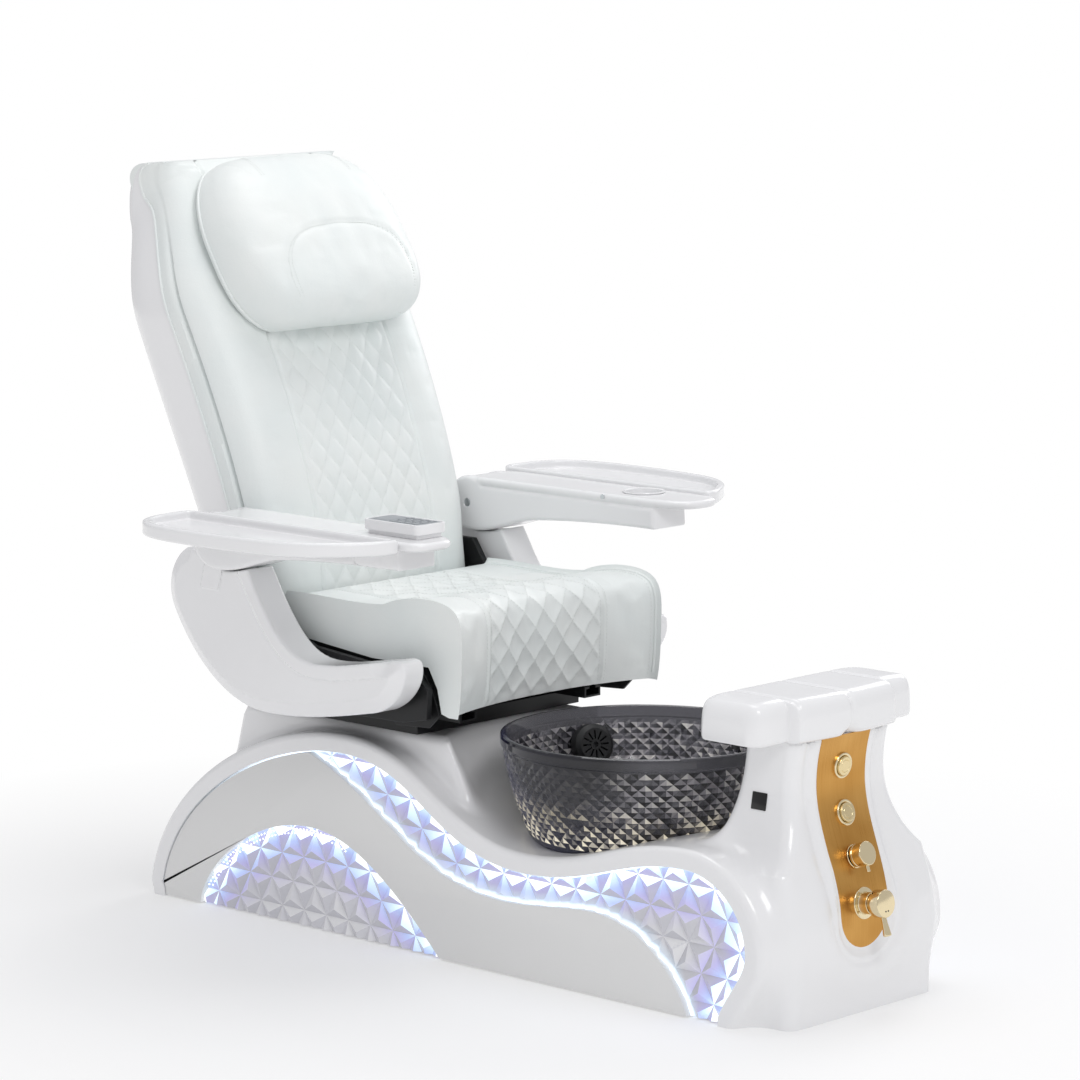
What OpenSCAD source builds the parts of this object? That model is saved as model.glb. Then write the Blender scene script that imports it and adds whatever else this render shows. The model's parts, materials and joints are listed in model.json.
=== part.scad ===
// Pedicure spa chair: lit moulded base, glass bowl, footrest column and a sliding, reclining seat.
// X is across the chair, +Y points to the sitter's back, +Z is up. The origin is on the floor,
// under the middle of the base. Millimetres.

/* [Base] */
// Width of the base
base_w = 494; // [440:1:560]
// Rear foot of the base, behind the middle
base_rear_y = 735; // [700:1:780]
// Front foot of the base, ahead of the middle
base_front_y = 725; // [690:1:760]
// Furthest reach of the rear wall
tail_y = 743; // [736:1:800]
// Place of the top of the rear arch
arch_y = 214; // [180:1:250]
// Height of the rear arch
arch_z = 380; // [365:1:388]
// Place of the valley in front of the seat
valley_y = 242; // [210:1:270]
// Height of the valley
valley_z = 228; // [215:1:240]
// Place of the front hump
hump_y = 615; // [600:1:640]
// Height of the front hump
hump_z = 294; // [285:1:310]
// Furthest reach of the nose at the side walls
nose_y = 788; // [775:1:820]
// Height of the nose
nose_z = 129; // [110:1:150]
// How far the middle of the nose bulges past its sides
nose_crown = 52; // [20:1:60]
// Width of the rim round the side panels
rim_w = 35; // [25:1:45]
// Radius of the rim's outer edge
rim_r = 12; // [6:1:16]
// Wall of the mouldings
wall = 9; // [6:1:12]
// Depth of the side recess that holds the panels
recess_d = 22; // [18:1:26]
// Height of the levelling feet under the cavity
foot_h = 30; // [20:1:40]

/* [Side panels] */
// Gap between a side panel and the rim
panel_gap = 3; // [2:0.5:5]
// Height of the panels' lower edge above the floor
panel_lift = 3; // [2:0.5:8]
// Start of the facet strip, ahead of the arch's rear
strip_start_y = 350; // [335:1:370]
// Lowest part of the strip's lower edge
strip_low_z = 134; // [120:1:150]
// Place of that lowest part
strip_low_y = 190; // [170:1:210]
// Swell of the strip's lower edge before it falls
strip_swell_z = 150; // [138:1:165]
// Place of that swell
strip_swell_y = 395; // [370:1:420]
// Where the strip's lower edge meets the floor
strip_foot_y = 624; // [600:1:640]
// Rear foot of the fan
fan_rear_y = 602; // [580:1:620]
// Front foot of the fan
fan_front_y = 34; // [10:1:60]
// Height of the fan
fan_z = 194; // [170:1:210]
// Place of the fan's top
fan_top_y = 300; // [270:1:330]
// Side of the facets' triangles
facet_side = 58; // [50:1:80]
// Height of each facet
facet_h = 9; // [4:1:11]

/* [Bowl] */
// Radius of the bowl's rim
bowl_r = 258; // [245:1:264]
// Height of the bowl's rim above the floor
bowl_top_z = 421; // [405:1:428]
// Radius of the bowl's foot
bowl_foot_r = 188; // [170:1:200]
// Place of the bowl's centre, ahead of the middle
bowl_y = 306; // [290:1:320]
// Thickness of the glass
glass_t = 11; // [8:1:14]
// Facets round the bowl
bowl_facets = 40; // [24:2:48]
// Rows of facets
bowl_rows = 7; // [4:1:9]
// Height of each diamond
diamond_h = 3.5; // [1.5:0.5:5]
// Radius of the drain hole
drain_r = 22; // [18:0.5:26]
// Radius of the drain tailpiece
tail_r = 16; // [14:0.5:18]

/* [Footrest and controls] */
// Height of the footrest pad's underside
pad_z = 480; // [470:1:500]
// Thickness of the footrest pad
pad_t = 75; // [55:1:90]
// Half width of the footrest pad
pad_half = 216; // [190:1:235]
// Half width of the column at its waist
column_half = 128; // [110:1:140]
// Width of the gold control panel
panel_w = 130; // [110:1:150]
// Thickness of the gold control panel
panel_t = 3; // [2:0.5:4]
// Height of the upper push button
upper_button_z = 424; // [415:1:435]
// Height of the lower push button
lower_button_z = 341; // [335:1:350]
// Radius of the push buttons
button_r = 17; // [14:0.5:19]
// Travel of the push buttons
button_travel = 3; // [2:0.5:4]
// Height of the diverter knob
diverter_z = 268; // [262:1:275]
// Radius of the diverter knob
diverter_r = 21; // [17:0.5:24]
// Height of the mixer
mixer_z = 190; // [184:1:196]
// Radius of the mixer handle
mixer_r = 24; // [20:0.5:27]
// Running clearance of shafts in their bores
run = 0.05; // [0.03:0.01:0.08]

/* [Seat] */
// Height of the seat pedestal's top
ped_top_z = 397; // [393:1:400]
// Half width of the seat pedestal
ped_half = 200; // [180:1:208]
// Rear of the seat pedestal
ped_rear_y = 556; // [530:1:575]
// Height of the top of the slide rails
rail_top_z = 446; // [442:1:449]
// Height of the seat pan's top
pan_z = 536; // [532:1:540]
// Lower edge of the arm shells
shell_low_z = 423; // [418:1:430]
// Width of the seat cushion
seat_w = 530; // [500:1:536]
// Height of the seat cushion's top at its sides
seat_top_z = 624; // [610:1:640]
// Height of the thigh roll above that
thigh_roll = 27; // [15:1:35]
// Front of the seat cushion
seat_front_y = 100; // [85:1:110]
// Underside of the cushion's apron
apron_z = 455; // [448:1:470]
// Rear of the seat cushion
seat_rear_y = 348; // [335:1:352]
// Forward travel of the seat
slide_out = 100; // [60:5:120]
// Half distance between the slide rails
rail_x = 165; // [140:1:185]

/* [Arms] */
// Inner face of the arms
arm_in = 286; // [283:1:295]
// Thickness of the arm shell
shell_t = 66; // [54:1:76]
// Top of the armrests
arm_top_z = 790; // [780:1:810]
// Length of the armrest ahead of its hinge
arm_reach = 500; // [460:1:520]
// Height of the arm hinge
arm_pin_z = 732; // [724:1:738]
// Place of the arm hinge
arm_pin_y = 410; // [400:1:420]
// Radius of the arm hinge pin
arm_pin_r = 8; // [6:0.5:10]
// Outer reach of the trays
tray_out = 590; // [560:1:620]
// Height of the tray's rim
tray_h = 26; // [20:1:32]
// Depth of the tray's basin
basin_d = 15; // [8:1:18]
// Radius of the cup well
cup_r = 37; // [33:1:38]
// Depth of the cup well
cup_d = 42; // [30:1:48]

/* [Back] */
// Half width of the back at its shoulders
back_half = 276; // [262:1:278]
// Half width of the back at its top
back_top_half = 226; // [205:1:240]
// Height of the top of the back
back_top_z = 1398; // [1380:1:1420]
// Height of the recline hinge
hinge_z = 560; // [550:1:568]
// Place of the recline hinge
hinge_y = 400; // [395:1:410]
// Radius of the recline hinge pins
hinge_r = 9; // [7:0.5:11]
// Thickness of the head pillow
pillow_t = 72; // [55:1:85]
// Half width of the head pillow
pillow_half = 238; // [200:1:250]

/* [Hidden] */
$fn = 64;

right = -1;
left = 1;
touch = 0.3;                        // gap between faces that rest near each other
ledge = 14;                         // shelf behind the side panels
rim_depth = recess_d + 12;
hw = base_w / 2;
heel_z = 25;                        // where the rear wall starts to lean
crown_from = 470;                   // where the nose starts to bulge

// ---- curves ---------------------------------------------------------------------------------
function lerp(a, b, t) = a + (b - a) * t;
function clamp01(t) = min(1, max(0, t));
function smooth(t) = let (u = clamp01(t)) u * u * (3 - 2 * u);
function bezier(p, t) = let (u = 1 - t)
    u * u * u * p[0] + 3 * u * u * t * p[1] + 3 * u * t * t * p[2] + t * t * t * p[3];
// n points along a curve; the last one is left to the next curve
function stretch(p, n) = [for (i = [0 : n - 1]) bezier(p, i / n)];
function unit(v) = v / norm(v);
function inward(a, b) = let (t = unit(b - a)) [-t[1], t[0]];
// an open line moved to its left by d
function inset(path, d) = let (last = len(path) - 1)
    [for (i = [0 : last]) path[i] + d * inward(path[max(i - 1, 0)], path[min(i + 1, last)])];
// a closed line moved to its left by d
function shrink(path, d) = let (n = len(path))
    [for (i = [0 : n - 1]) path[i] + d * inward(path[(i + n - 1) % n], path[(i + 1) % n])];

// ---- builders -------------------------------------------------------------------------------
// A closed solid through sections of equal length; checker turns every other diagonal, swap all.
module skin(sections, checker = false, swap = false) {
    n = len(sections[0]);
    m = len(sections);
    sides = [for (i = [0 : m - 2], j = [0 : n - 1])
        let (a = i * n + j, b = i * n + (j + 1) % n, c = b + n, d = a + n)
        each (swap || (checker && (i + j) % 2 == 1) ? [[a, d, b], [b, d, c]] : [[a, d, c], [a, c, b]])];
    ends = [[for (j = [0 : n - 1]) j], [for (j = [n - 1 : -1 : 0]) (m - 1) * n + j]];
    polyhedron(points = [for (s = sections) each s], faces = concat(ends, sides), convexity = 8);
}

// A slab between two x planes with a side view in Y and Z
module slab(x0, x1)
    translate([x0, 0, 0]) rotate([90, 0, 90]) linear_extrude(x1 - x0) children();

// The left-hand model, or its mirror image on the right
module on_side(side) mirror([side == right ? 1 : 0, 0, 0]) children();

// A rod along X, Y or Z from a point
module rod_x(p, r, l) translate(p) rotate([0, 90, 0]) cylinder(r = r, h = l);
module rod_y(p, r, l) translate(p) rotate([-90, 0, 0]) cylinder(r = r, h = l);
module rod_z(p, r, l) translate(p) cylinder(r = r, h = l);

// ---- base outline ---------------------------------------------------------------------------
arch = [arch_y, arch_z];
valley = [-valley_y, valley_z];
hump = [-hump_y, hump_z];
nose = [-nose_y, nose_z];
toe = [-base_front_y, 0];
heel = [tail_y, heel_z];

// The side view of the base, from the rear foot over the arch and the hump to the front foot
function base_line() = let (
    up = 0.58 * (arch_z - heel_z),
    back = 0.42 * (tail_y - arch_y),
    fall = 0.47 * (arch_y + valley_y),
    rise = 0.4 * (hump_y - valley_y),
    over = 0.54 * (nose_y - hump_y),
    down = 0.56 * (hump_z - nose_z),
    tuck = 0.38 * nose_z)
    concat([[base_rear_y, 0]],
        stretch([heel, heel + [-0.15 * up, up], arch + [back, 0], arch], 14),
        stretch([arch, arch - [fall, 0], valley + [fall, 0], valley], 13),
        stretch([valley, valley - [rise, 0], hump + [rise, 0], hump], 11),
        stretch([hump, hump - [over, 0], nose + [0, down], nose], 8),
        stretch([nose, nose - [0, tuck], toe + [-0.45, 1] * tuck, toe], 5),
        [toe]);

// The side view inside a margin d, cut off at a height above the floor
module base_region(d, from_z = 0) intersection() {
    offset(delta = -d) polygon(concat(base_line(), [[-base_front_y, -80], [base_rear_y, -80]]));
    translate([-nose_y - 200, from_z]) square([nose_y + tail_y + 400, arch_z + 100]);
}

// A point of the outline at x, with the nose bulged
function crowned(p, x) = let (t = smooth((-p[0] - crown_from) / (nose_y - crown_from)))
    [x, p[0] - nose_crown * (1 - pow(x / hw, 2)) * t, max(0, p[1])];
function grounded(path) = let (last = len(path) - 1)
    [for (i = [0 : last]) i == 0 || i == last ? [path[i][0], 0] : path[i]];
function base_section(x, d) = [for (p = grounded(inset(base_line(), d))) crowned(p, x)];

// The outside of the base, with rounded rims and a bulged nose
module base_outside() {
    steps = 3;
    rim = [for (i = [0 : steps]) let (a = 90 * i / steps)
        [hw - rim_r + rim_r * cos(a), rim_r * (1 - sin(a))]];
    flat = hw - rim_r;
    skin(concat(
        [for (s = rim) base_section(-s[0], s[1])],
        [for (k = [-2 : 2]) base_section(k * flat / 3, 0)],
        [for (i = [steps : -1 : 0]) base_section(rim[i][0], rim[i][1])]), swap = true);
}

// ---- bowl -----------------------------------------------------------------------------------
bowl_at = [0, -bowl_y, 0];
bowl_base_z = valley_z - 2;
foot_z = bowl_base_z + 16;          // top of the bowl's rounded foot
band_z = bowl_top_z - 26;           // underside of the plain rim band
wall_low_r = bowl_foot_r + 17;
band_r = bowl_r - 6;
well_z = bowl_base_z - wall;
wall_mid_z = 330;                   // where the inside of the wall changes its slope

// Radius of the outside of the bowl at a height
function bowl_wall(z) = let (t = clamp01((z - foot_z) / (band_z - foot_z)))
    lerp(wall_low_r, band_r, t) + 6 * sin(180 * t);
function ring(r, z, low = 0) = [for (i = [0 : 2 * bowl_facets - 1])
    let (a = 360 * i / (2 * bowl_facets), rr = r - (low > 0 && (i + low) % 2 == 1 ? diamond_h : 0))
    [rr * cos(a), rr * sin(a), z]];

// The hollow in the deck that the bowl's foot drops into
module bowl_seat() translate(bowl_at) {
    translate([0, 0, bowl_base_z]) cylinder(r1 = bowl_foot_r + 1, r2 = wall_low_r + 3, h = foot_z - bowl_base_z);
    translate([0, 0, foot_z]) cylinder(r1 = wall_low_r + 3, r2 = bowl_wall(330) + 4, h = 330 - foot_z);
}

// ---- control panel --------------------------------------------------------------------------
waist_y = 754;                      // the panel's slimmest place
waist_z = 400;
panel_swell = 56;                   // how far the panel's foot comes forward of the waist
panel_foot_z = 114;
swell_z = 165;
// Where the panel's face lies at a height
function panel_y(z) = -(waist_y + (z < waist_z ? panel_swell * smooth((waist_z - z) / (waist_z - swell_z))
    : 14 * pow((z - waist_z) / 86, 2)));
function panel_line(from_z, to_z, d, n = 18) = [for (i = [0 : n])
    let (z = lerp(from_z, to_z, i / n)) [panel_y(z) + d, z]];

// The panel's front view, widened by d
module panel_front(d) {
    r = panel_w / 2 + d;
    translate([-r, panel_foot_z + panel_w / 2]) square([2 * r, pad_z - panel_foot_z]);
    translate([0, panel_foot_z + panel_w / 2]) circle(r = r);
}
module panel_prism(d) rotate([90, 0, 0]) translate([0, 0, waist_y - 60]) linear_extrude(260) panel_front(d);

// The channel in the column and the nose that the panel lies in
module panel_channel() intersection() {
    slab(-panel_w, panel_w) polygon(concat(panel_line(panel_foot_z - 8, pad_z + 20, panel_t),
        [[-960, pad_z + 20], [-960, panel_foot_z - 8]]));
    panel_prism(1);
}
sleeve_r = button_r + 3;
bezel_r = button_r + 6;
stem_r = 6;
core_r = 15;
escutcheon_r = mixer_r + 4;
controls = [[upper_button_z, sleeve_r], [lower_button_z, sleeve_r], [diverter_z, stem_r + 6],
    [mixer_z, core_r + 4]];
module control_holes(d) for (c = controls) at_panel(c[0]) translate([0, 0, -60]) cylinder(r = c[1] + d, h = 160);

// ---- base nodes -----------------------------------------------------------------------------
column_cavity = [62, -736, -650];   // half width, front and rear of the hollow in the column

// The shell's wall at x across the base and d in from its outline: out over the top, in round
// the rim and its ledge, and back along the inside
function rim_arc(side) = [for (a = [0 : 30 : 90]) [side * (hw - rim_r + rim_r * cos(a)), rim_r * (1 - sin(a))]];
function rim_step(side) = [[side * hw, rim_w], [side * (hw - recess_d), rim_w],
    [side * (hw - recess_d), rim_w + ledge], [side * (hw - rim_depth), rim_w + ledge]];
function turned(list) = [for (i = [len(list) - 1 : -1 : 0]) list[i]];
function wall_loop() = let (flat = hw - rim_r, inside = hw - rim_depth)
    concat(rim_arc(left), [for (k = [2 : -1 : -2]) [k * flat / 3, 0]], turned(rim_arc(right)),
        rim_step(right), [for (k = [-2 : 2]) [k * inside / 2, wall]], turned(rim_step(left)));
module base_wall() {
    loop = wall_loop();
    paths = [for (w = loop) grounded(inset(base_line(), w[1]))];
    skin([for (i = [0 : len(base_line()) - 1]) [for (j = [0 : len(loop) - 1]) crowned(paths[j][i], loop[j][0])]]);
}

module base_shell() color("white") difference() {
    union() {
        base_wall();
        intersection() {
            translate([0, -bowl_y, well_z]) cylinder(r = wall_low_r + 12, h = foot_z - well_z);
            slab(-hw + rim_depth + 1, hw - rim_depth - 1) base_region(wall / 2);
        }
    }
    bowl_seat();
    rod_z([0, -bowl_y, 0], drain_r + 1, bowl_base_z + 5);
    panel_channel();
    control_holes(touch);
    translate([-column_cavity[0], column_cavity[1], valley_z])
        cube([2 * column_cavity[0], column_cavity[2] - column_cavity[1], 200]);
}

strip_start = [strip_start_y, arch_z - rim_w + 2];
// The lower edge of the facet strip, from under the arch to the floor
function strip_line() = let (
    low = [-strip_low_y, strip_low_z],
    swell = [-strip_swell_y, strip_swell_z],
    foot = [-strip_foot_y, 0])
    concat(
        stretch([strip_start, strip_start + [-230, -52], low + [246, 0], low], 13),
        stretch([low, low - [68, 0], swell + [50, 0], swell], 6),
        stretch([swell, swell - [108, 0], foot + [34, 83], foot], 8), [foot]);
// All that lies above and ahead of that edge
module above_strip() polygon(concat(strip_line(),
    [[-strip_foot_y, -60], [-nose_y - 100, -60], [-nose_y - 100, arch_z + 60], [strip_start_y, arch_z + 60]]));

function fan_line() = let (top = [fan_top_y, fan_z])
    concat(
        [[fan_rear_y, -60]],
        stretch([[fan_rear_y, 0], [fan_rear_y, 59], top + [176, 0], top], 10),
        stretch([top, top - [118, 0], [-fan_front_y + 105, 105], [-fan_front_y, 0]], 10),
        [[-fan_front_y, 0], [-fan_front_y - 50, -60]]);
module fan_region() polygon(fan_line());

module panel_area() base_region(rim_w + panel_gap, panel_lift);

module side_panel(side) color("whitesmoke") on_side(side)
    slab(hw - recess_d, hw - 3) difference() {
        panel_area();
        above_strip();
        fan_region();
    }

// A sheet of three-sided facets on a triangular grid, standing on the plane x = back
module facet_sheet(back, base, y0, y1, z0, z1) {
    row = facet_side * sqrt(3) / 2;
    ni = ceil((y1 - y0) / facet_side) + 1;
    nj = ceil((z1 - z0) / row);
    nv = (ni + 1) * (nj + 1);
    grid = [for (j = [0 : nj], i = [0 : ni]) [y0 + (i + (j % 2) / 2) * facet_side - facet_side / 2, z0 + j * row]];
    tris = [for (j = [0 : nj - 1], i = [0 : ni - 1])
        let (a = j * (ni + 1) + i, b = a + 1, c = a + ni + 1, d = c + 1)
        each (j % 2 == 0 ? [[a, b, c], [b, d, c]] : [[a, d, c], [a, b, d]])];
    peaks = [for (t = tris) (grid[t[0]] + grid[t[1]] + grid[t[2]]) / 3];
    edge = concat([for (i = [0 : ni - 1]) i], [for (j = [0 : nj - 1]) j * (ni + 1) + ni],
        [for (i = [ni : -1 : 1]) nj * (ni + 1) + i], [for (j = [nj : -1 : 1]) j * (ni + 1)]);
    n = len(edge);
    polyhedron(
        points = concat([for (g = grid) [back + base, g[0], g[1]]], [for (g = grid) [back, g[0], g[1]]],
            [for (p = peaks) [back + base + facet_h, p[0], p[1]]]),
        faces = concat(
            [for (k = [0 : len(tris) - 1]) let (t = tris[k], p = 2 * nv + k)
                each [[p, t[1], t[0]], [p, t[2], t[1]], [p, t[0], t[2]]]],
            [for (t = tris) [t[0] + nv, t[1] + nv, t[2] + nv]],
            [for (k = [0 : n - 1]) let (a = edge[k], b = edge[(k + 1) % n])
                each [[a, b, b + nv], [a, b + nv, a + nv]]]),
        convexity = 10);
}

facet_base = 5;
light_t = 3;
module facet_strip(side) color("lightsteelblue") on_side(side) intersection() {
    facet_sheet(hw - recess_d, facet_base, -nose_y, strip_start_y + 20, -20, arch_z);
    slab(hw - recess_d, hw) intersection() {
        panel_area();
        above_strip();
    }
}
module facet_fan(side) color("lightsteelblue") on_side(side) intersection() {
    facet_sheet(hw - recess_d, facet_base, -fan_front_y - 40, fan_rear_y + 10, -20, fan_z + 10);
    slab(hw - recess_d, hw) intersection() {
        panel_area();
        fan_region();
    }
}

// Light lines: one fills the gap round the panels, one lies along the fan's arch
module light_line(side) color("aqua") on_side(side) {
    slab(hw - recess_d, hw - recess_d + light_t) difference() {
        base_region(rim_w + 0.5, panel_lift);
        base_region(rim_w + panel_gap, panel_lift - 1);
    }
}

foot_x = hw - rim_depth - 24;
module levelling_foot() {
    cylinder(r = 20, h = 8);
    cylinder(r = 6, h = foot_h);
}
// Four feet under the sides and one under a bar across the middle
module levelling_feet() color("dimgray") {
    for (side = [right, left], y = [base_rear_y - 120, -base_front_y + 90])
        on_side(side) translate([foot_x, y, 0]) {
            levelling_foot();
            translate([-20, -20, foot_h]) cube([hw - recess_d - foot_x + 20, 40, 5]);
        }
    levelling_foot();
    translate([recess_d - hw, -20, foot_h]) cube([2 * (hw - recess_d), 40, 5]);
}

niche_low = 300;                    // radius of the niche round the bowl at the deck
niche_high = 358;                   // and at the pedestal's top
motor_r = 42;
motor_az = 68;                      // direction of the jet from the bowl's centre
motor_z = 354;
module seat_pedestal() color("white") difference() {
    slab(-ped_half, ped_half) polygon([[ped_rear_y + 6, 150], [ped_rear_y, 290], [ped_rear_y - 22, 370],
        [ped_rear_y - 34, ped_top_z - 8], [ped_rear_y - 48, ped_top_z], [-14, ped_top_z], [-120, 150]]);
    base_outside();
    translate([0, -bowl_y, 286 - 160]) cylinder(r1 = niche_low - 80, r2 = niche_low + 2, h = 160);
    translate([0, -bowl_y, 286]) cylinder(r1 = niche_low, r2 = niche_high, h = ped_top_z - 286 + 0.2);
    slab(-ped_half + wall, ped_half - wall) polygon([[ped_rear_y - 10, 140], [ped_rear_y - 36, 370],
        [ped_rear_y - 50, ped_top_z - wall], [90, ped_top_z - wall], [90, 140]]);
    on_jet() translate([0, 0, -150]) cylinder(r = motor_r + 2, h = 150);
}

// ---- footrest column ------------------------------------------------------------------------
column_low_z = 262;
function column_section(z) = let (
    t = (pad_z - z) / (pad_z - column_low_z),
    half = column_half + 8 * t + 60 * pow(t, 4),
    rear = -643 + 55 * t * t,
    front = panel_y(z) - 6 - 10 * t * t,
    r = 26)
    concat(
        [for (a = [0 : 22.5 : 90]) [half - r + r * cos(a), rear - r + r * sin(a), z]],
        [for (a = [90 : 22.5 : 180]) [-half + r + r * cos(a), rear - r + r * sin(a), z]],
        [for (a = [180 : 22.5 : 270]) [-half + r + r * cos(a), front + r + r * sin(a), z]],
        [for (a = [270 : 22.5 : 360]) [half - r + r * cos(a), front + r + r * sin(a), z]]);

module footrest_column() color("white") difference() {
    skin([for (i = [0 : 10]) column_section(lerp(column_low_z, pad_z, i / 10))]);
    base_outside();
    panel_channel();
    control_holes(touch);
    translate([-column_cavity[0], column_cavity[1], valley_z])
        cube([2 * column_cavity[0], column_cavity[2] - column_cavity[1], pad_z - valley_z - 12]);
    bowl_filler_tube(touch);
}

// The pad's front and rear at x: a middle block between two lobes that are set back
lobe_y = 753;
function pad_front(x) = let (a = abs(x), c = column_half + 8)
    a < column_half ? -784 + 8 * pow(a / column_half, 2)
    : a < c ? lerp(-776, -lobe_y, (a - column_half) / 8)
    : -lobe_y + 50 * pow((a - c) / (pad_half - c), 4);
function pad_rear(x) = -604 - 78 * pow(abs(x) / pad_half, 5);
function pad_top(x) = let (a = abs(x)) pad_z + pad_t - 5 * exp(-pow(x / 4, 2))
    - 5 * exp(-pow((a - column_half) / 4, 2)) - 16 * pow(a / pad_half, 12);
function pad_section(x) = let (
    f = pad_front(x),
    r = pad_rear(x),
    k = min(1, (r - f) / 70),
    h = pad_top(x) - pad_z,
    side = [[0, 0], [1, 0.5], [4, 0.78], [11, 0.93], [28, 1]])
    concat([for (q = side) [x, f + q[0] * k, pad_z + q[1] * h]],
        [for (q = turned(side)) [x, r - q[0] * k, pad_z + q[1] * h]]);
pad_xs = [0, 5, 10, 60, 118, 124, column_half, 132, column_half + 8, 160, 185, 200, 209, 214, pad_half];
module footrest_pad() color("white")
    skin([for (i = [14 : -1 : 1]) pad_section(-pad_xs[i]), for (i = [0 : 14]) pad_section(pad_xs[i])]);

// ---- bowl and water fittings ----------------------------------------------------------------
module glass_bowl() color("slategray", 0.6) difference() {
    rows = bowl_rows;
    inner_low_r = bowl_foot_r - 12;
    translate(bowl_at) skin(concat(
        [ring(bowl_foot_r, bowl_base_z), ring(wall_low_r, foot_z)],
        [for (j = [1 : rows]) let (z = lerp(foot_z, band_z, (j - 0.5) / rows)) ring(bowl_wall(z) + 2, z, j)],
        [ring(band_r, band_z), ring(bowl_r, bowl_top_z - 6), ring(bowl_r - 2, bowl_top_z),
         ring(bowl_r - glass_t, bowl_top_z), ring(band_r - glass_t, band_z),
         ring(bowl_wall(wall_mid_z) - glass_t, wall_mid_z), ring(inner_low_r, bowl_base_z + 24),
         ring(inner_low_r - 16, bowl_base_z + glass_t)]), checker = true);
    rod_z([0, -bowl_y, bowl_base_z - 5], drain_r + touch, 40);
}

drain_flange = drain_r + 14;
module bowl_drain() color("silver") translate([0, -bowl_y, 0]) difference() {
    union() {
        translate([0, 0, bowl_base_z + glass_t]) cylinder(r = drain_flange, h = 3);
        translate([0, 0, bowl_base_z - 24]) cylinder(r = drain_r, h = 24 + glass_t);
        translate([0, 0, 60]) cylinder(r = tail_r, h = bowl_base_z - 84);
    }
    translate([0, 0, 55]) cylinder(r = tail_r - 2, h = bowl_base_z - 60);
    for (a = [0 : 45 : 315]) rotate([0, 0, a]) translate([9, 0, bowl_base_z - 10]) cylinder(r = 2.5, h = 40);
}

filler_x = -64;
filler_z = pad_z - 18;
module bowl_filler_tube(d) {
    rod_y([filler_x, -660, filler_z], 8 + d, 85);
}
module bowl_filler() color("dimgray") difference() {
    union() {
        bowl_filler_tube(0);
        rod_z([filler_x, -575, filler_z - 26], 8, 26);
        translate([filler_x, -575, filler_z]) sphere(r = 8);
        rod_y([filler_x, -630, filler_z], 14, 5);
    }
    rod_z([filler_x, -575, filler_z - 30], 6, 26);
}

// The jet stands square to the inside of the bowl's wall and points to the middle
jet_tilt = atan((band_r - bowl_wall(wall_mid_z)) / (band_z - wall_mid_z));
function inner_wall(z) = lerp(bowl_wall(wall_mid_z), band_r, (z - wall_mid_z) / (band_z - wall_mid_z)) - glass_t;
module on_jet() translate(bowl_at) rotate([0, 0, motor_az]) translate([inner_wall(motor_z), 0, motor_z])
    rotate([0, -90 + jet_tilt, 0]) children();
housing_h = 22;
jet_r = 38;
jet_gap = 2.6;                      // play between the housing and the wall, whose foot leans in
jet_back = jet_r * jet_r / (2 * inner_wall(motor_z)) + jet_gap;
motor_h = 60;
module jet_housing() color("black") on_jet() translate([0, 0, jet_back]) difference() {
    cylinder(r = jet_r, h = housing_h);
    translate([0, 0, 5]) cylinder(r = jet_r - 4, h = housing_h);
    translate([0, 0, 2]) cylinder(r = 3 + run, h = 10);
}
module jet_impeller() color("gray") on_jet() translate([0, 0, jet_back]) {
    translate([0, 0, 2.5]) cylinder(r = 3, h = 12);
    translate([0, 0, 6]) cylinder(r = 12, h = 8);
    for (a = [0 : 60 : 300]) rotate([0, 0, a]) translate([8, -1, 6]) cube([20, 2, 8]);
}
module jet_cover() color("black") on_jet() translate([0, 0, jet_back + housing_h]) difference() {
    cylinder(r1 = jet_r, r2 = jet_r - 8, h = 6);
    for (a = [0 : 30 : 330]) rotate([0, 0, a]) translate([10, -1.5, -1]) cube([16, 3, 8]);
    translate([0, 0, -1]) cylinder(r = 5, h = 8);
}
module jet_motor() color("black") on_jet()
    translate([0, 0, inner_wall(motor_z) - bowl_wall(motor_z) - 1.9 - motor_h]) difference() {
    cylinder(r = motor_r, h = motor_h);
    for (k = [1 : 4]) translate([0, 0, 10 * k]) difference() {
        cylinder(r = motor_r + 1, h = 4);
        translate([0, 0, -1]) cylinder(r = motor_r - 4, h = 6);
    }
}

// ---- controls -------------------------------------------------------------------------------
// A place on the panel at a height, with local Z pointing out of it
function panel_tilt(z) = atan((panel_y(z + 5) - panel_y(z - 5)) / 10);
module at_panel(z) translate([0, panel_y(z), z]) rotate([90 - panel_tilt(z), 0, 0]) children();

module control_panel() color("goldenrod") difference() {
    intersection() {
        panel_prism(0);
        slab(-panel_w, panel_w) polygon(concat(panel_line(panel_foot_z - 8, pad_z + 20, 0),
            [for (i = [18 : -1 : 0]) panel_line(panel_foot_z - 8, pad_z + 20, panel_t)[i]]));
        translate([-panel_w, -960, 0]) cube([2 * panel_w, 400, pad_z - touch]);
    }
    control_holes(0);
}

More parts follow.
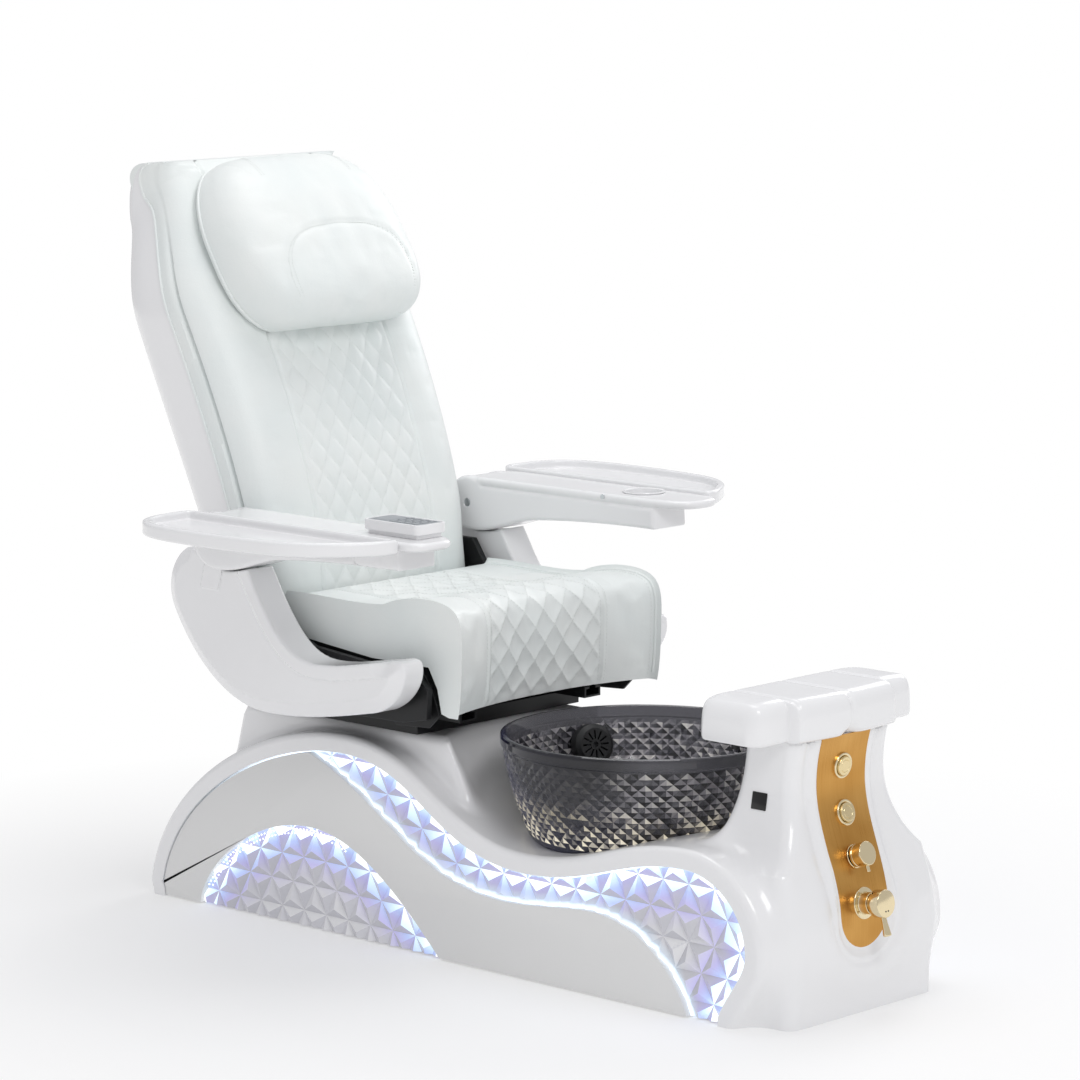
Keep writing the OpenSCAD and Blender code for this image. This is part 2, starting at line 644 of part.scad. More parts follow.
button_back = -22;
button_face = 12;
mixer_body_h = 22;
lever_pivot = 38;                   // height of the lever's pin above the panel
lever_pin_r = 3;
hub_h = 22;
module panel_bezels() color("gold") {
    for (z = [upper_button_z, lower_button_z]) at_panel(z) difference() {
        union() {
            translate([0, 0, button_back]) cylinder(r = sleeve_r, h = 4 - button_back);
            translate([0, 0, 2]) cylinder(r = bezel_r, h = 6);
        }
        translate([0, 0, button_back + 3]) cylinder(r = button_r + run, h = 60);
    }
    at_panel(diverter_z) difference() {
        union() {
            translate([0, 0, -24]) cylinder(r = stem_r + 6, h = 26);
            translate([0, 0, 1]) cylinder(r = diverter_r, h = 3);
        }
        translate([0, 0, -30]) cylinder(r = stem_r + run, h = 60);
    }
    at_panel(mixer_z) difference() {
        union() {
            translate([0, 0, -24]) cylinder(r = core_r + 4, h = 24 + mixer_body_h);
            translate([0, 0, 1]) cylinder(r = escutcheon_r, h = 3);
        }
        translate([0, 0, -30]) cylinder(r = core_r + run, h = 80);
    }
}

module push_button(z) color("khaki") at_panel(z) {
    translate([0, 0, button_back + 8]) cylinder(r = button_r, h = button_face - 2 - button_back - 8);
    translate([0, 0, button_face - 2]) cylinder(r1 = button_r, r2 = button_r - 2, h = 2);
}

module diverter_knob() color("khaki") at_panel(diverter_z) {
    translate([0, 0, -22]) cylinder(r = stem_r, h = 30);
    translate([0, 0, 7]) cylinder(r = diverter_r, h = 26);
    translate([0, -diverter_r + 1, 24]) rotate([90, 0, 0]) cylinder(r = 3.5, h = 10);
}

module mixer_core() color("gold") at_panel(mixer_z) difference() {
    union() {
        translate([0, 0, -22]) cylinder(r = core_r, h = 22 + mixer_body_h + 4);
        cylinder(r = 7, h = lever_pivot + 6);
    }
    translate([-20, 0, lever_pivot]) rotate([0, 90, 0]) cylinder(r = lever_pin_r + run, h = 40);
}

module mixer_handle() color("khaki") at_panel(mixer_z) {
    difference() {
        translate([0, 0, lever_pivot - 8]) cylinder(r = mixer_r, h = hub_h);
        translate([0, 0, lever_pivot - 9]) cylinder(r = mixer_r - 5, h = 18);
    }
    translate([-mixer_r + 3, 0, lever_pivot]) rotate([0, 90, 0]) cylinder(r = lever_pin_r, h = 2 * mixer_r - 6);
    translate([0, -mixer_r + 3, lever_pivot + 4]) rotate([80, 0, 0]) cylinder(r1 = 5, r2 = 7, h = 34);
}

inlet_x = 28;
inlet_y = -715;
inlet_z = 80;
inlet_r = 10.5;
module valve_body() color("goldenrod") difference() {
    union() {
        translate([-40, -734, 150]) cube([80, 42, 160]);
        at_panel(mixer_z) translate([0, 0, -78]) cylinder(r = core_r + 4, h = 54);
        at_panel(diverter_z) translate([0, 0, -60]) cylinder(r = stem_r + 6, h = 36);
        for (x = [-inlet_x, inlet_x]) rod_z([x, inlet_y, inlet_z], inlet_r, 75);
        rod_z([0, inlet_y, 300], inlet_r, 60);
    }
    for (x = [-inlet_x, inlet_x]) rod_z([x, inlet_y, inlet_z - 5], inlet_r - 3, 80);
    rod_z([0, inlet_y, 300], inlet_r - 3, 70);
}

// ---- seat frame -----------------------------------------------------------------------------
plate_top_z = rail_top_z - 21;
pan_half = 255;
module rail_plate() color("black") difference() {
    translate([-215, 50, ped_top_z]) cube([430, 450, plate_top_z - ped_top_z]);
    translate([-200, 70, ped_top_z - 1]) cube([400, 410, plate_top_z - ped_top_z - 3]);
}

module slide_rails() color("black") for (x = [-rail_x, rail_x]) difference() {
    translate([x - 22, -30, plate_top_z]) cube([44, 510, 21]);
    translate([x - 17, -31, plate_top_z + 4]) cube([34, 512, 12]);
    translate([x - 8, -31, plate_top_z + 10]) cube([16, 512, 20]);
}

carriage_z = rail_top_z + 1;
module seat_carriage() color("black") {
    translate([-pan_half + 15, 0, carriage_z]) cube([2 * pan_half - 30, 330, 6]);
    for (x = [-rail_x, rail_x]) {
        translate([x - 17 + touch, 20, plate_top_z + 4 + touch]) cube([34 - 2 * touch, 300, 12 - 2 * touch]);
        translate([x - 7, 20, plate_top_z + 15]) cube([14, 300, carriage_z - plate_top_z - 14]);
    }
}

pan_low_z = carriage_z + 6;
plate_in = 272;
plate_out = arm_in - 1;
module seat_pan() color("black") {
    difference() {
        slab(-pan_half, pan_half) polygon([[18, pan_low_z], [330, pan_low_z], [338, pan_z + 36], [306, pan_z + 17],
            [200, pan_z + 7], [110, pan_z + 0.5], [18, pan_z + 0.5]]);
        slab(-pan_half + 5, pan_half - 5) polygon([[23, pan_low_z - 1], [325, pan_low_z - 1], [330, pan_z + 24],
            [305, pan_z + 10], [110, pan_z - 6], [23, pan_z - 6]]);
    }
    for (side = [right, left]) on_side(side) {
        slab(pan_half, pan_half + 6) polygon([[60, pan_z - 7], [-8, pan_z - 7], [-30, 500], [-44, 470],
            [-50, 451], [-24, shell_low_z + 3], [60, shell_low_z - 2]]);
        for (y = [40, 270]) translate([pan_half, y, pan_low_z + 4]) cube([plate_in - pan_half, 30, 20]);
    }
}

module side_plate(side) color("black") on_side(side) difference() {
    slab(plate_in, plate_out) polygon([[-42, 446], [-46, 500], [-20, 522], [113, 534], [246, 545], [321, 574],
        [346, 615], [382, 667], [430, 667], [446, 610], [440, 540], [400, 490], [330, 446], [230, 430], [20, 434]]);
    rod_x([plate_in - 1, hinge_y, hinge_z], hinge_r, 30);
}

// ---- seat cushion ---------------------------------------------------------------------------
seat_half = seat_w / 2;
seam_x = 152;                       // where the quilted middle ends
// Side view of the cushion at x: the front is hollowed in plan, and the edges are drawn in
function seat_section(x) = let (
    u = abs(x) / seat_half,
    edge = 11 * (1 - sqrt(max(0, 1 - pow(clamp01((u - 0.94) / 0.06), 2)))),
    groove = 5 * exp(-pow((abs(x) - seam_x) / 7, 2)),
    front = -seat_front_y + 42 * (1 - pow(u, 2.4)) + groove,
    top = seat_top_z - groove,
    roll = seat_top_z + thigh_roll - groove)
    [for (p = shrink(concat(
        stretch([[seat_rear_y - 14, top], [240, top + 4], [150, top - 6], [80, top + 4]], 6),
        stretch([[80, top + 4], [30, roll], [front + 40, roll + 4], [front + 14, roll - 16]], 6),
        stretch([[front + 14, roll - 16], [front - 4, roll - 32], [front, 590], [front + 1, 540]], 5),
        stretch([[front + 1, 540], [front + 2, 500], [front + 6, 470], [front + 10, apron_z]], 3),
        [[front + 22, apron_z - 3], [front + 40, apron_z + 2], [front + 50, 500], [front + 72, pan_z + 1]],
        stretch([[front + 72, pan_z + 1], [115, pan_z + 1], [115, pan_z + 1], [200, pan_z + 9]], 4),
        [[306, pan_z + 19], [seat_rear_y - 6, pan_z + 40], [seat_rear_y, top - 30], [seat_rear_y - 2, top - 10]]),
        edge)) [x, p[0], p[1]]];
module seat_cushion() color("white") skin([for (u = [-1, -0.993, -0.975, -0.94, -0.88, -0.75, -0.605, -0.575,
    -0.545, -0.45, -0.22, 0, 0.22, 0.45, 0.545, 0.575, 0.605, 0.75, 0.88, 0.94, 0.975, 0.993, 1])
    seat_section(u * seat_half)]);

// ---- arms -----------------------------------------------------------------------------------
shell_in = arm_in + 14;
shell_out = shell_in + shell_t;
cheek_in = [arm_in, shell_in - 1];
cheek_out = [shell_out + 1, shell_out + 15];
arm_z = arm_top_z - 6;              // top of the arm pad
cheek_r = 52;
tongue_r = 32;
arm_pin_at = [arm_pin_y, arm_pin_z];

function arm_shell_outer() = concat(
    stretch([[511, 706], [545, 690], [575, 640], [548, 590]], 6),
    stretch([[548, 590], [515, 530], [430, shell_low_z], [300, shell_low_z]], 9),
    stretch([[300, shell_low_z], [200, shell_low_z], [110, 442], [25, 459]], 5),
    stretch([[25, 459], [-20, 470], [-56, 510], [-52, 545]], 5),
    stretch([[-52, 545], [-51, 560], [-40, 563], [-10, 556]], 3));
function arm_shell_inner() = concat(
    stretch([[-10, 556], [60, 545], [100, 534], [150, 533]], 5),
    stretch([[150, 533], [215, 531], [248, 560], [290, 618]], 6),
    stretch([[290, 618], [318, 655], [330, 690], [352, 706]], 5));
module arm_shell(side) color("white") on_side(side) difference() {
    union() {
        slab(shell_in, shell_out) difference() {
            polygon(concat(arm_shell_outer(), arm_shell_inner(), [[352, 706]]));
            translate(arm_pin_at) circle(r = cheek_r + 4);
            for (d = [[0, 3], [0, -3], [4, -3]]) translate(d) arm_profile();
        }
        slab(shell_in, shell_out) {
            translate(arm_pin_at) circle(r = tongue_r);
            polygon([arm_pin_at + [-26, -18], arm_pin_at + [-8, -80], arm_pin_at + [80, -70], arm_pin_at + [26, -16]]);
        }
        slab(plate_out, shell_in) polygon([[60, 470], [60, 520], [250, 530], [330, 560], [400, 600], [420, 540],
            [330, 470]]);
    }
    rod_x([0, arm_pin_y, arm_pin_z], arm_pin_r, 500);
}

module arm_pin(side) color("silver") on_side(side)
    rod_x([cheek_in[0] + 1, arm_pin_y, arm_pin_z], arm_pin_r, cheek_out[1] - cheek_in[0] - 2);

arm_front = -68;
// The arm's side view, without the pad that overhangs it
module arm_profile() polygon(concat(
    stretch([[407, arm_pin_z - cheek_r], [350, 676], [310, 700], [250, 712]], 5),
    stretch([[250, 712], [190, 720], [60, 728], [arm_front - 2, 727]], 4),
    [[arm_front - 2, 727], [arm_front, arm_z - 16], [arm_pin_y, arm_z - 16]]));
cup_x = 350;
cup_y = 10;
pad_out = 404;
module arm_pad_plan() polygon(concat(
    stretch([[arm_in, 380], [arm_in, 300], [arm_in, 120], [arm_in, -20]], 3),
    stretch([[arm_in, -20], [arm_in, -80], [arm_in + 8, -130], [330, -140]], 6),
    stretch([[330, -140], [370, -148], [pad_out, -140], [pad_out, -100]], 6),
    [[pad_out, -100], [pad_out, 380], [pad_out - 16, 412], [arm_in + 12, 412]]));

module armrest(side) color("white") on_side(side) difference() {
    union() {
        slab(cheek_in[1], cheek_out[0]) difference() {
            arm_profile();
            translate(arm_pin_at) circle(r = tongue_r + 3);
            translate(arm_pin_at + [-tongue_r - 3, -100]) square([200, 104]);
        }
        for (c = [cheek_in, cheek_out]) slab(c[0], c[1]) {
            arm_profile();
            translate(arm_pin_at) circle(r = cheek_r);
        }
        translate([0, 0, arm_z - 16]) linear_extrude(16) arm_pad_plan();
        translate([cup_x, cup_y, arm_z - 54]) cylinder(r = cup_r + 7, h = 50);
    }
    if (side == left) rod_z([cup_x, cup_y, arm_z - cup_d], cup_r, cup_d + 5);
    rod_x([0, arm_pin_y, arm_pin_z], arm_pin_r + run, 500);
    rod_x([arm_in - 1, 55, arm_z - 6], 2.5, 13);
}

module arm_screw(side) color("silver") on_side(side) {
    rod_x([arm_in - 2, 55, arm_z - 6], 5, 2);
    rod_x([arm_in, 55, arm_z - 6], 2.5, 12);
}

tray_in = 408;
tray_pivot = [tray_in + 24, 413];
tray_pin_r = 7;
tray_low_z = arm_top_z - tray_h;
bracket_z = tray_low_z - 9;
// The tray from above: round about its pin, then along the rear, the outside and the front
function tray_plan() = concat(
    [for (a = [180 : -18 : 90]) tray_pivot + 24 * [cos(a), sin(a)]],
    stretch([[tray_pivot[0] + 10, 437], [520, 438], [570, 420], [585, 330]], 7),
    stretch([[585, 330], [tray_out + 8, 230], [tray_out - 4, 120], [575, 55]], 6),
    stretch([[575, 55], [562, 0], [530, -40], [490, -66]], 5),
    stretch([[490, -66], [455, -88], [440, -100], [420, -100]], 4),
    [[420, -100], [tray_in + 3, -99], [tray_in, -92]]);
module tray(side) color("white") on_side(side) {
    difference() {
        translate([0, 0, tray_low_z]) linear_extrude(tray_h) polygon(tray_plan());
        translate([0, 0, arm_top_z - basin_d]) linear_extrude(basin_d + 1) offset(delta = -13)
            polygon(tray_plan());
    }
    rod_z([tray_pivot[0], tray_pivot[1], bracket_z - 12], tray_pin_r, tray_low_z - bracket_z + 12);
    rod_z([tray_pivot[0], tray_pivot[1], bracket_z - 16], tray_pin_r + 4, 4);
}

module tray_bracket(side) color("silver") on_side(side) difference() {
    translate([0, 0, bracket_z]) linear_extrude(8.5) {
        polygon([[cheek_out[1], 345], [tray_pivot[0] + 16, tray_pivot[1] - 26], [tray_pivot[0] + 16, tray_pivot[1] + 14],
            [cheek_out[1], 440]]);
        translate(tray_pivot) circle(r = 21);
        polygon([[cheek_out[1], 60], [cheek_out[1], 190], [500, 170], [500, 60]]);
    }
    rod_z([tray_pivot[0], tray_pivot[1], bracket_z - 5], tray_pin_r + run, 30);
    for (y = [85, 145]) rod_z([470, y, bracket_z - 5], 4, 30);
}

// ---- remote control -------------------------------------------------------------------------
remote_at = [-330, -35];
remote_w = 74;
remote_l = 138;
remote_h = 26;
module remote_plan(d) offset(r = 12 + d) square([remote_w - 24, remote_l - 24], center = true);
module remote_body() color("white") translate([remote_at[0], remote_at[1], arm_z]) difference() {
    union() {
        linear_extrude(8) remote_plan(-6);
        translate([0, 0, 8]) linear_extrude(remote_h - 8) remote_plan(0);
    }
    translate([0, 0, remote_h - 2]) linear_extrude(3) remote_plan(-5);
}
module remote_keypad() color("silver") translate([remote_at[0], remote_at[1], arm_z + remote_h - 2]) {
    linear_extrude(1.6) remote_plan(-5.3);
    translate([-24, 20, 0]) cube([48, 34, 2.2]);
    for (x = [-20, 0, 20], y = [-48, -30, -12, 6]) translate([x - 7, y - 5, 0]) cube([14, 10, 3]);
}

// ---- back -----------------------------------------------------------------------------------
back_low = 0.86;                    // share of the stations below the top rounding
function back_front(s) = s <= back_low
    ? bezier([[356, 592], [392, 830], [556, 1155], [700, back_top_z - 18]], s / back_low)
    : lerp([700, back_top_z - 18], [715, back_top_z], (s - back_low) / (1 - back_low));
function back_rear(s) = s <= back_low
    ? bezier([[548, 562], [650, 790], [845, 1136], [845, 1262]], s / back_low)
    : bezier([[845, 1262], [845, back_top_z - 45], [800, back_top_z - 3], [742, back_top_z - 3]],
        (s - back_low) / (1 - back_low));
function back_width(z) = z < 760 ? lerp(back_half - 10, back_half, smooth((z - 660) / 100))
    : z < 1140 ? lerp(back_half, back_half + 8, (z - 760) / 380)
    : lerp(back_half + 8, back_top_half, smooth((z - 1140) / (back_top_z - 1140)));
seam_d = 0.38;                      // share of the depth where leather meets shell
// A place in the back: s up it, x across it, d from its front to its rear
function back_at(s, x, d) = let (f = back_front(s), r = back_rear(s), p = lerp(f, r, d)) [x, p[0], p[1]];
function back_edge(u) = 1 - sqrt(max(0, 1 - pow(abs(u), 7)));
function back_groove(x) = 0.02 * exp(-pow((abs(x) - seam_x) / 8, 2));
cushion_us = [-1, -0.985, -0.95, -0.88, -0.76, -0.62, -0.585, -0.555, -0.525, -0.49, -0.3, 0,
    0.3, 0.49, 0.525, 0.555, 0.585, 0.62, 0.76, 0.88, 0.95, 0.985, 1];
function back_stations(n) = [for (i = [0 : n]) back_low * i / n];
module back_cushion() color("white") skin([for (s = concat(back_stations(17), [0.92, 0.965, 1])) let (h = back_width(back_front(s)[1]))
    concat([for (u = cushion_us) back_at(s, u * h, 0.3 * back_edge(u) + back_groove(u * h))],
        [back_at(s, h - 2, seam_d), back_at(s, 2 - h, seam_d)])]);

shell_w = 7;
function shell_loop(h, w) = [for (i = [0 : 16]) let (a = 180 * i / 16, c = cos(a), r = sin(a))
    [(h - w) * sign(c) * pow(abs(c), 0.55), seam_d + (1 - seam_d - w / 190) * pow(r, 0.6)]];
module shell_form(stations, w, front) skin([for (s = stations) let (h = back_width(back_front(s)[1]) - 1)
    concat([for (q = shell_loop(h, w)) back_at(s, q[0], q[1] + 0.003)],
        front > 0 ? [back_at(s, w - h, seam_d - front), back_at(s, h - w, seam_d - front)] : [])]);
module back_shell() color("white") difference() {
    shell_form(concat(back_stations(17), [0.92, 0.965]), 0, 0);
    shell_form([for (i = [0 : 12]) lerp(-0.02, 0.95, i / 12)], shell_w, 0.05);
}

lug_x = 250;                        // outer face of the frame's lugs
lug_t = 14;
frame_z = [612, 640];               // heights of the frame's cross tubes
// A place just behind the leather, n stations up
function behind_seam(n) = let (p = back_at(back_low * n / 17, 0, seam_d)) [p[1] + 0.5, p[2]];
module back_frame() color("black") {
    for (side = [right, left]) on_side(side) slab(lug_x - lug_t, lug_x) difference() {
        union() {
            translate([hinge_y, hinge_z]) circle(r = 24);
            polygon([[hinge_y, hinge_z + 20], [hinge_y + 32, hinge_z + 13], behind_seam(1), behind_seam(2),
                behind_seam(2) + [34, 0], [hinge_y + 74, hinge_z + 20], [hinge_y + 20, hinge_z - 22],
                [hinge_y, hinge_z - 24]]);
        }
        translate([hinge_y, hinge_z]) circle(r = hinge_r + run);
    }
    for (z = frame_z) rod_x([-lug_x + lug_t, hinge_y + 70, z], 9, 2 * (lug_x - lug_t));
}
module recline_pins() color("silver") for (side = [right, left]) on_side(side)
    rod_x([lug_x - lug_t - 4, hinge_y, hinge_z], hinge_r, plate_out - 1 - lug_x + lug_t + 4);

// ---- pillow ---------------------------------------------------------------------------------
pillow_low = 0.53;
pillow_high = 0.855;
// The pillow: t up it, its rear against the cushion and its front rounded all round
module head_pillow() color("white") skin([for (t = [0, 0.02, 0.07, 0.15, 0.27, 0.42, 0.58, 0.74, 0.87, 0.95, 0.985, 1])
    let (s = lerp(pillow_low, pillow_high, t),
        grow = pow(max(0.0001, 1 - pow(abs(2 * t - 1), 4)), 0.5),
        h = (pillow_half - 22 * smooth((t - 0.5) * 2)) * (0.62 + 0.38 * pow(max(0.0001, 1 - pow(abs(2 * t - 1), 3.2)), 0.6)),
        thick = 0.1 + 0.36 * grow)
    concat([for (i = [0 : 16]) let (u = -cos(180 * i / 16))
            back_at(s, u * h, -0.05 - thick * pow(max(0, 1 - pow(abs(u), 5)), 0.5))],
        [back_at(s, h * 0.98, -0.0016), back_at(s, -h * 0.98, -0.0016)])]);

base_shell();
side_panel(right);  // side_panel_right
side_panel(left);  // side_panel_left
facet_strip(right);  // facet_strip_right
facet_strip(left);  // facet_strip_left
facet_fan(right);  // facet_fan_right
facet_fan(left);  // facet_fan_left
light_line(right);  // light_line_right
light_line(left);  // light_line_left
levelling_feet();
seat_pedestal();
footrest_column();
footrest_pad();
glass_bowl();
bowl_drain();
bowl_filler();
jet_housing();
jet_cover();
jet_impeller();
jet_motor();
control_panel();
panel_bezels();
push_button(upper_button_z);  // upper_button
push_button(lower_button_z);  // lower_button
diverter_knob();
mixer_core();
mixer_handle();
valve_body();
rail_plate();
slide_rails();
seat_carriage();
seat_pan();
side_plate(right);  // side_plate_right
side_plate(left);  // side_plate_left
seat_cushion();
arm_shell(right);  // arm_shell_right
arm_shell(left);  // arm_shell_left
arm_pin(right);  // arm_pin_right
arm_pin(left);  // arm_pin_left
armrest(right);  // armrest_right
armrest(left);  // armrest_left
arm_screw(right);  // arm_screw_right
arm_screw(left);  // arm_screw_left
tray_bracket(right);  // tray_bracket_right
tray_bracket(left);  // tray_bracket_left
tray(right);  // tray_right
tray(left);  // tray_left
remote_body();
remote_keypad();
recline_pins();
back_frame();
back_shell();
back_cushion();
head_pillow();
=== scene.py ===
"""Looks of a pedicure spa chair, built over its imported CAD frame.

Shapes are given in millimetres; lights, the camera, modifiers and materials work in metres.
"""

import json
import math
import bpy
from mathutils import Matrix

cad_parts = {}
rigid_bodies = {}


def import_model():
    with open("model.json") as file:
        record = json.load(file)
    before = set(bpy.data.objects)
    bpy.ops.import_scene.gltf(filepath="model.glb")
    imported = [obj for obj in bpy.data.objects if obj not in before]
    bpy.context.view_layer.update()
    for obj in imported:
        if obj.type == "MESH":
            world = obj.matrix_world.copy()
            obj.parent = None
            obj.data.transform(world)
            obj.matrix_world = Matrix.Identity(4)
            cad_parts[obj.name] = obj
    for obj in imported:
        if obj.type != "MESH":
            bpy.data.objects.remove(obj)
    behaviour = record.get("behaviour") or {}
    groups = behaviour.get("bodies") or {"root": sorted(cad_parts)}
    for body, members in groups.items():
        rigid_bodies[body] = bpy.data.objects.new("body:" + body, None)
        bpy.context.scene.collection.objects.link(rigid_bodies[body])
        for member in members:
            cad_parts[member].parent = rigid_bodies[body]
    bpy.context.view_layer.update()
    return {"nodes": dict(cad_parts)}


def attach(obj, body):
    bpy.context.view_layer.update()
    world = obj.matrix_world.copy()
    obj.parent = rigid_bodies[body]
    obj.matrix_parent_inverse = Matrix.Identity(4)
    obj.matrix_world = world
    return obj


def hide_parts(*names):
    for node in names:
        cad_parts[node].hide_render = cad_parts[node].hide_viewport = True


bl_info = {
    "name": "Spa chair",
    "version": (1, 0, 0),
    "blender": (4, 5, 0),
    "location": "View3D > Sidebar > Spa chair",
    "description": "Builds the visible pieces, materials, lights and camera of a pedicure spa chair",
    "category": "Object",
}

from contextlib import contextmanager

import bmesh
import bpy
import numpy as np
from bpy.props import FloatProperty, PointerProperty, StringProperty
from bpy.types import Operator, Panel, PropertyGroup
from mathutils import Matrix, Vector

for thing in list(bpy.data.objects):
    bpy.data.objects.remove(thing)
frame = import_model()
RIGHT, LEFT = -1, 1


# ---- numbers and curves (millimetres) ----------------------------------------------------------
def lerp(a, b, t):
    """The place between a and b at the share t."""
    return a + (b - a) * t


def smooth(t):
    """An S-shaped rise from 0 to 1."""
    u = np.clip(t, 0, 1)
    return u * u * (3 - 2 * u)


def bezier(points, t):
    """Points of one cubic curve at the shares t."""
    t = np.asarray(t, float)[:, None]
    p = np.asarray(points, float)
    u = 1 - t
    return u**3 * p[0] + 3 * u * u * t * p[1] + 3 * u * t * t * p[2] + t**3 * p[3]


def chain(curves, step=6.0):
    """One line through cubic curves (4 points) and straight runs (1 point), at an even spacing."""
    line = []
    for c in curves:
        c = np.asarray(c, float)
        if len(c) == 4:
            line.extend(bezier(c, np.linspace(0, 1, 60)))
        else:
            line.extend(c)
    return spaced(np.array(line), step)


def run_length(line):
    """How far along a line each of its points lies."""
    return np.r_[0, np.cumsum(np.linalg.norm(np.diff(line, axis=0), axis=1))]


def resampled(line, n):
    """The same line with n evenly spaced points, and how far along it each of them lies."""
    gap = run_length(line)
    at = np.linspace(0, gap[-1], n)
    return np.stack([np.interp(at, gap, line[:, i]) for i in range(line.shape[1])], 1), at


def spaced(line, step):
    """The same line with its points at an even spacing."""
    return resampled(line, max(2, round(run_length(line)[-1] / step) + 1))[0]


def unit(vectors):
    """Rows of an array brought to length 1."""
    return vectors / (np.linalg.norm(vectors, axis=1)[:, None] + 1e-12)


def inset(line, d):
    """An open line moved to its left by d."""
    way = unit(np.gradient(line, axis=0))
    return line + d * np.stack([-way[:, 1], way[:, 0]], 1)


def away(points, line):
    """Least distance from each 2-D point to a line."""
    a, b = line[:-1], line[1:]
    ab = b - a
    least = np.full(len(points), 1e9)
    for i in range(0, len(points), 20000):
        p = points[i : i + 20000, None, :]
        t = np.clip(((p - a) * ab).sum(2) / ((ab * ab).sum(1) + 1e-12), 0, 1)
        least[i : i + 20000] = np.sqrt((((a + ab * t[..., None]) - p) ** 2).sum(2)).min(1)
    return least


class Grid:
    """A value over a side view or plan, worked out on a fine grid and read between its points."""

    def __init__(self, value, low, high, step=2.5):
        self.low, self.step = np.array(low, float), step
        n = np.ceil((np.array(high) - self.low) / step).astype(int) + 1
        y, z = np.meshgrid(*[self.low[i] + step * np.arange(n[i]) for i in (0, 1)], indexing="ij")
        self.grid = value(np.stack([y.ravel(), z.ravel()], 1)).reshape(n)

    def __call__(self, y, z):
        top = np.array(self.grid.shape) - 1.001
        u = np.clip((y - self.low[0]) / self.step, 0, top[0])
        v = np.clip((z - self.low[1]) / self.step, 0, top[1])
        i, j = u.astype(int), v.astype(int)
        u, v, g = u - i, v - j, self.grid
        return lerp(lerp(g[i, j], g[i + 1, j], u), lerp(g[i, j + 1], g[i + 1, j + 1], u), v)


def profile(polygon, low, high):
    """Signed distance to a closed outline, negative inside, over a box of its plane."""
    ring = np.vstack([polygon, polygon[:1]])

    def value(p):
        inside = np.zeros(len(p), bool)
        for a, b in zip(ring[:-1], ring[1:]):
            if a[1] != b[1]:
                over = (a[1] > p[:, 1]) != (b[1] > p[:, 1])
                inside ^= over & (p[:, 0] < (b[0] - a[0]) * (p[:, 1] - a[1]) / (b[1] - a[1]) + a[0])
        return away(p, ring) * np.where(inside, -1, 1)

    return Grid(value, low, high)


# ---- mesh builders -----------------------------------------------------------------------------
def linked(name, mesh):
    """A new object in the scene."""
    thing = bpy.data.objects.new(name, mesh)
    bpy.context.scene.collection.objects.link(thing)
    return thing


def new_mesh(name, points, faces, scale=0.001):
    """An object from points in millimetres, with faces turned outward."""
    mesh = bpy.data.meshes.new(name)
    mesh.from_pydata((np.asarray(points, float) * scale).tolist(), [], [list(map(int, f)) for f in faces])
    mesh.validate()
    thing = linked(name, mesh)
    with edited(thing) as bm:
        bmesh.ops.remove_doubles(bm, verts=bm.verts, dist=2e-6)
        bmesh.ops.recalc_face_normals(bm, faces=bm.faces)
    return thing


@contextmanager
def edited(thing):
    """The object's mesh as a bmesh, written back at the end."""
    bm = bmesh.new()
    bm.from_mesh(thing.data)
    yield bm
    bm.to_mesh(thing.data)
    bm.free()


def read(parts, key, width=1, kind=float):
    """One property of all the vertices, faces or corners of a mesh, as an array."""
    values = np.empty(len(parts) * width, kind)
    parts.foreach_get(key, values)
    return values.reshape(-1, width) if width > 1 else values


def set_attribute(thing, name, domain, values):
    """A number on each point or each corner, for a material to read."""
    layer = thing.data.attributes.new(name, "FLOAT", domain)
    layer.data.foreach_set("value", np.asarray(values, np.float32))


def loft(name, rings, caps=True, closed=False):
    """A skin through rings of equal length; closed joins the last ring to the first."""
    rings = np.asarray(rings, float)
    m, n = rings.shape[:2]
    faces = []
    for i in range(m if closed else m - 1):
        for j in range(n):
            k, l = (i + 1) % m, (j + 1) % n
            faces.append([i * n + j, i * n + l, k * n + l, k * n + j])
    if caps and not closed:
        faces += [list(range(n))[::-1], [(m - 1) * n + j for j in range(n)]]
    return new_mesh(name, rings.reshape(-1, 3), faces)


def prism(name, outline, x0, x1):
    """A slab between two x planes with a closed side view in Y and Z."""
    return loft(name, [[(x, y, z) for y, z in outline] for x in (x0, x1)])


def turned(name, profile, steps=96):
    """A body of revolution about local Z from radius and height pairs."""
    angles = np.linspace(0, 2 * math.pi, steps, endpoint=False)
    rings = [[(r * math.cos(a), r * math.sin(a), z) for a in angles] for r, z in profile]
    return loft(name, rings)


def tube(name, path, radius, sides=8, closed=False):
    """A tube along a 3-D line; its frame turns with the line."""
    path = np.asarray(path, float)
    way = unit(np.roll(path, -1, 0) - np.roll(path, 1, 0) if closed else np.gradient(path, axis=0))
    up = Vector((0.13, 0.27, 0.95)).normalized()
    rings = []
    for p, w in zip(path, way):
        side = Vector(w).cross(up)
        side = side.normalized() if side.length > 1e-6 else Vector((1, 0, 0))
        up = side.cross(Vector(w)).normalized()
        rings.append([np.array(p) + radius * (math.cos(a) * np.array(side) + math.sin(a) * np.array(up))
                      for a in np.linspace(0, 2 * math.pi, sides, endpoint=False)])
    return loft(name, rings, closed=closed)


def applied(thing):
    """Bakes the modifiers into the mesh."""
    graph = bpy.context.evaluated_depsgraph_get()
    mesh = bpy.data.meshes.new_from_object(thing.evaluated_get(graph), depsgraph=graph)
    thing.modifiers.clear()
    old = thing.data
    thing.data = mesh
    bpy.data.meshes.remove(old)
    return thing


def combine(thing, tool, how="DIFFERENCE"):
    """Boolean with another object, which is then removed."""
    m = thing.modifiers.new("cut", "BOOLEAN")
    m.operation, m.solver, m.object = how, "MANIFOLD", tool
    applied(thing)
    bpy.data.objects.remove(tool)
    return thing


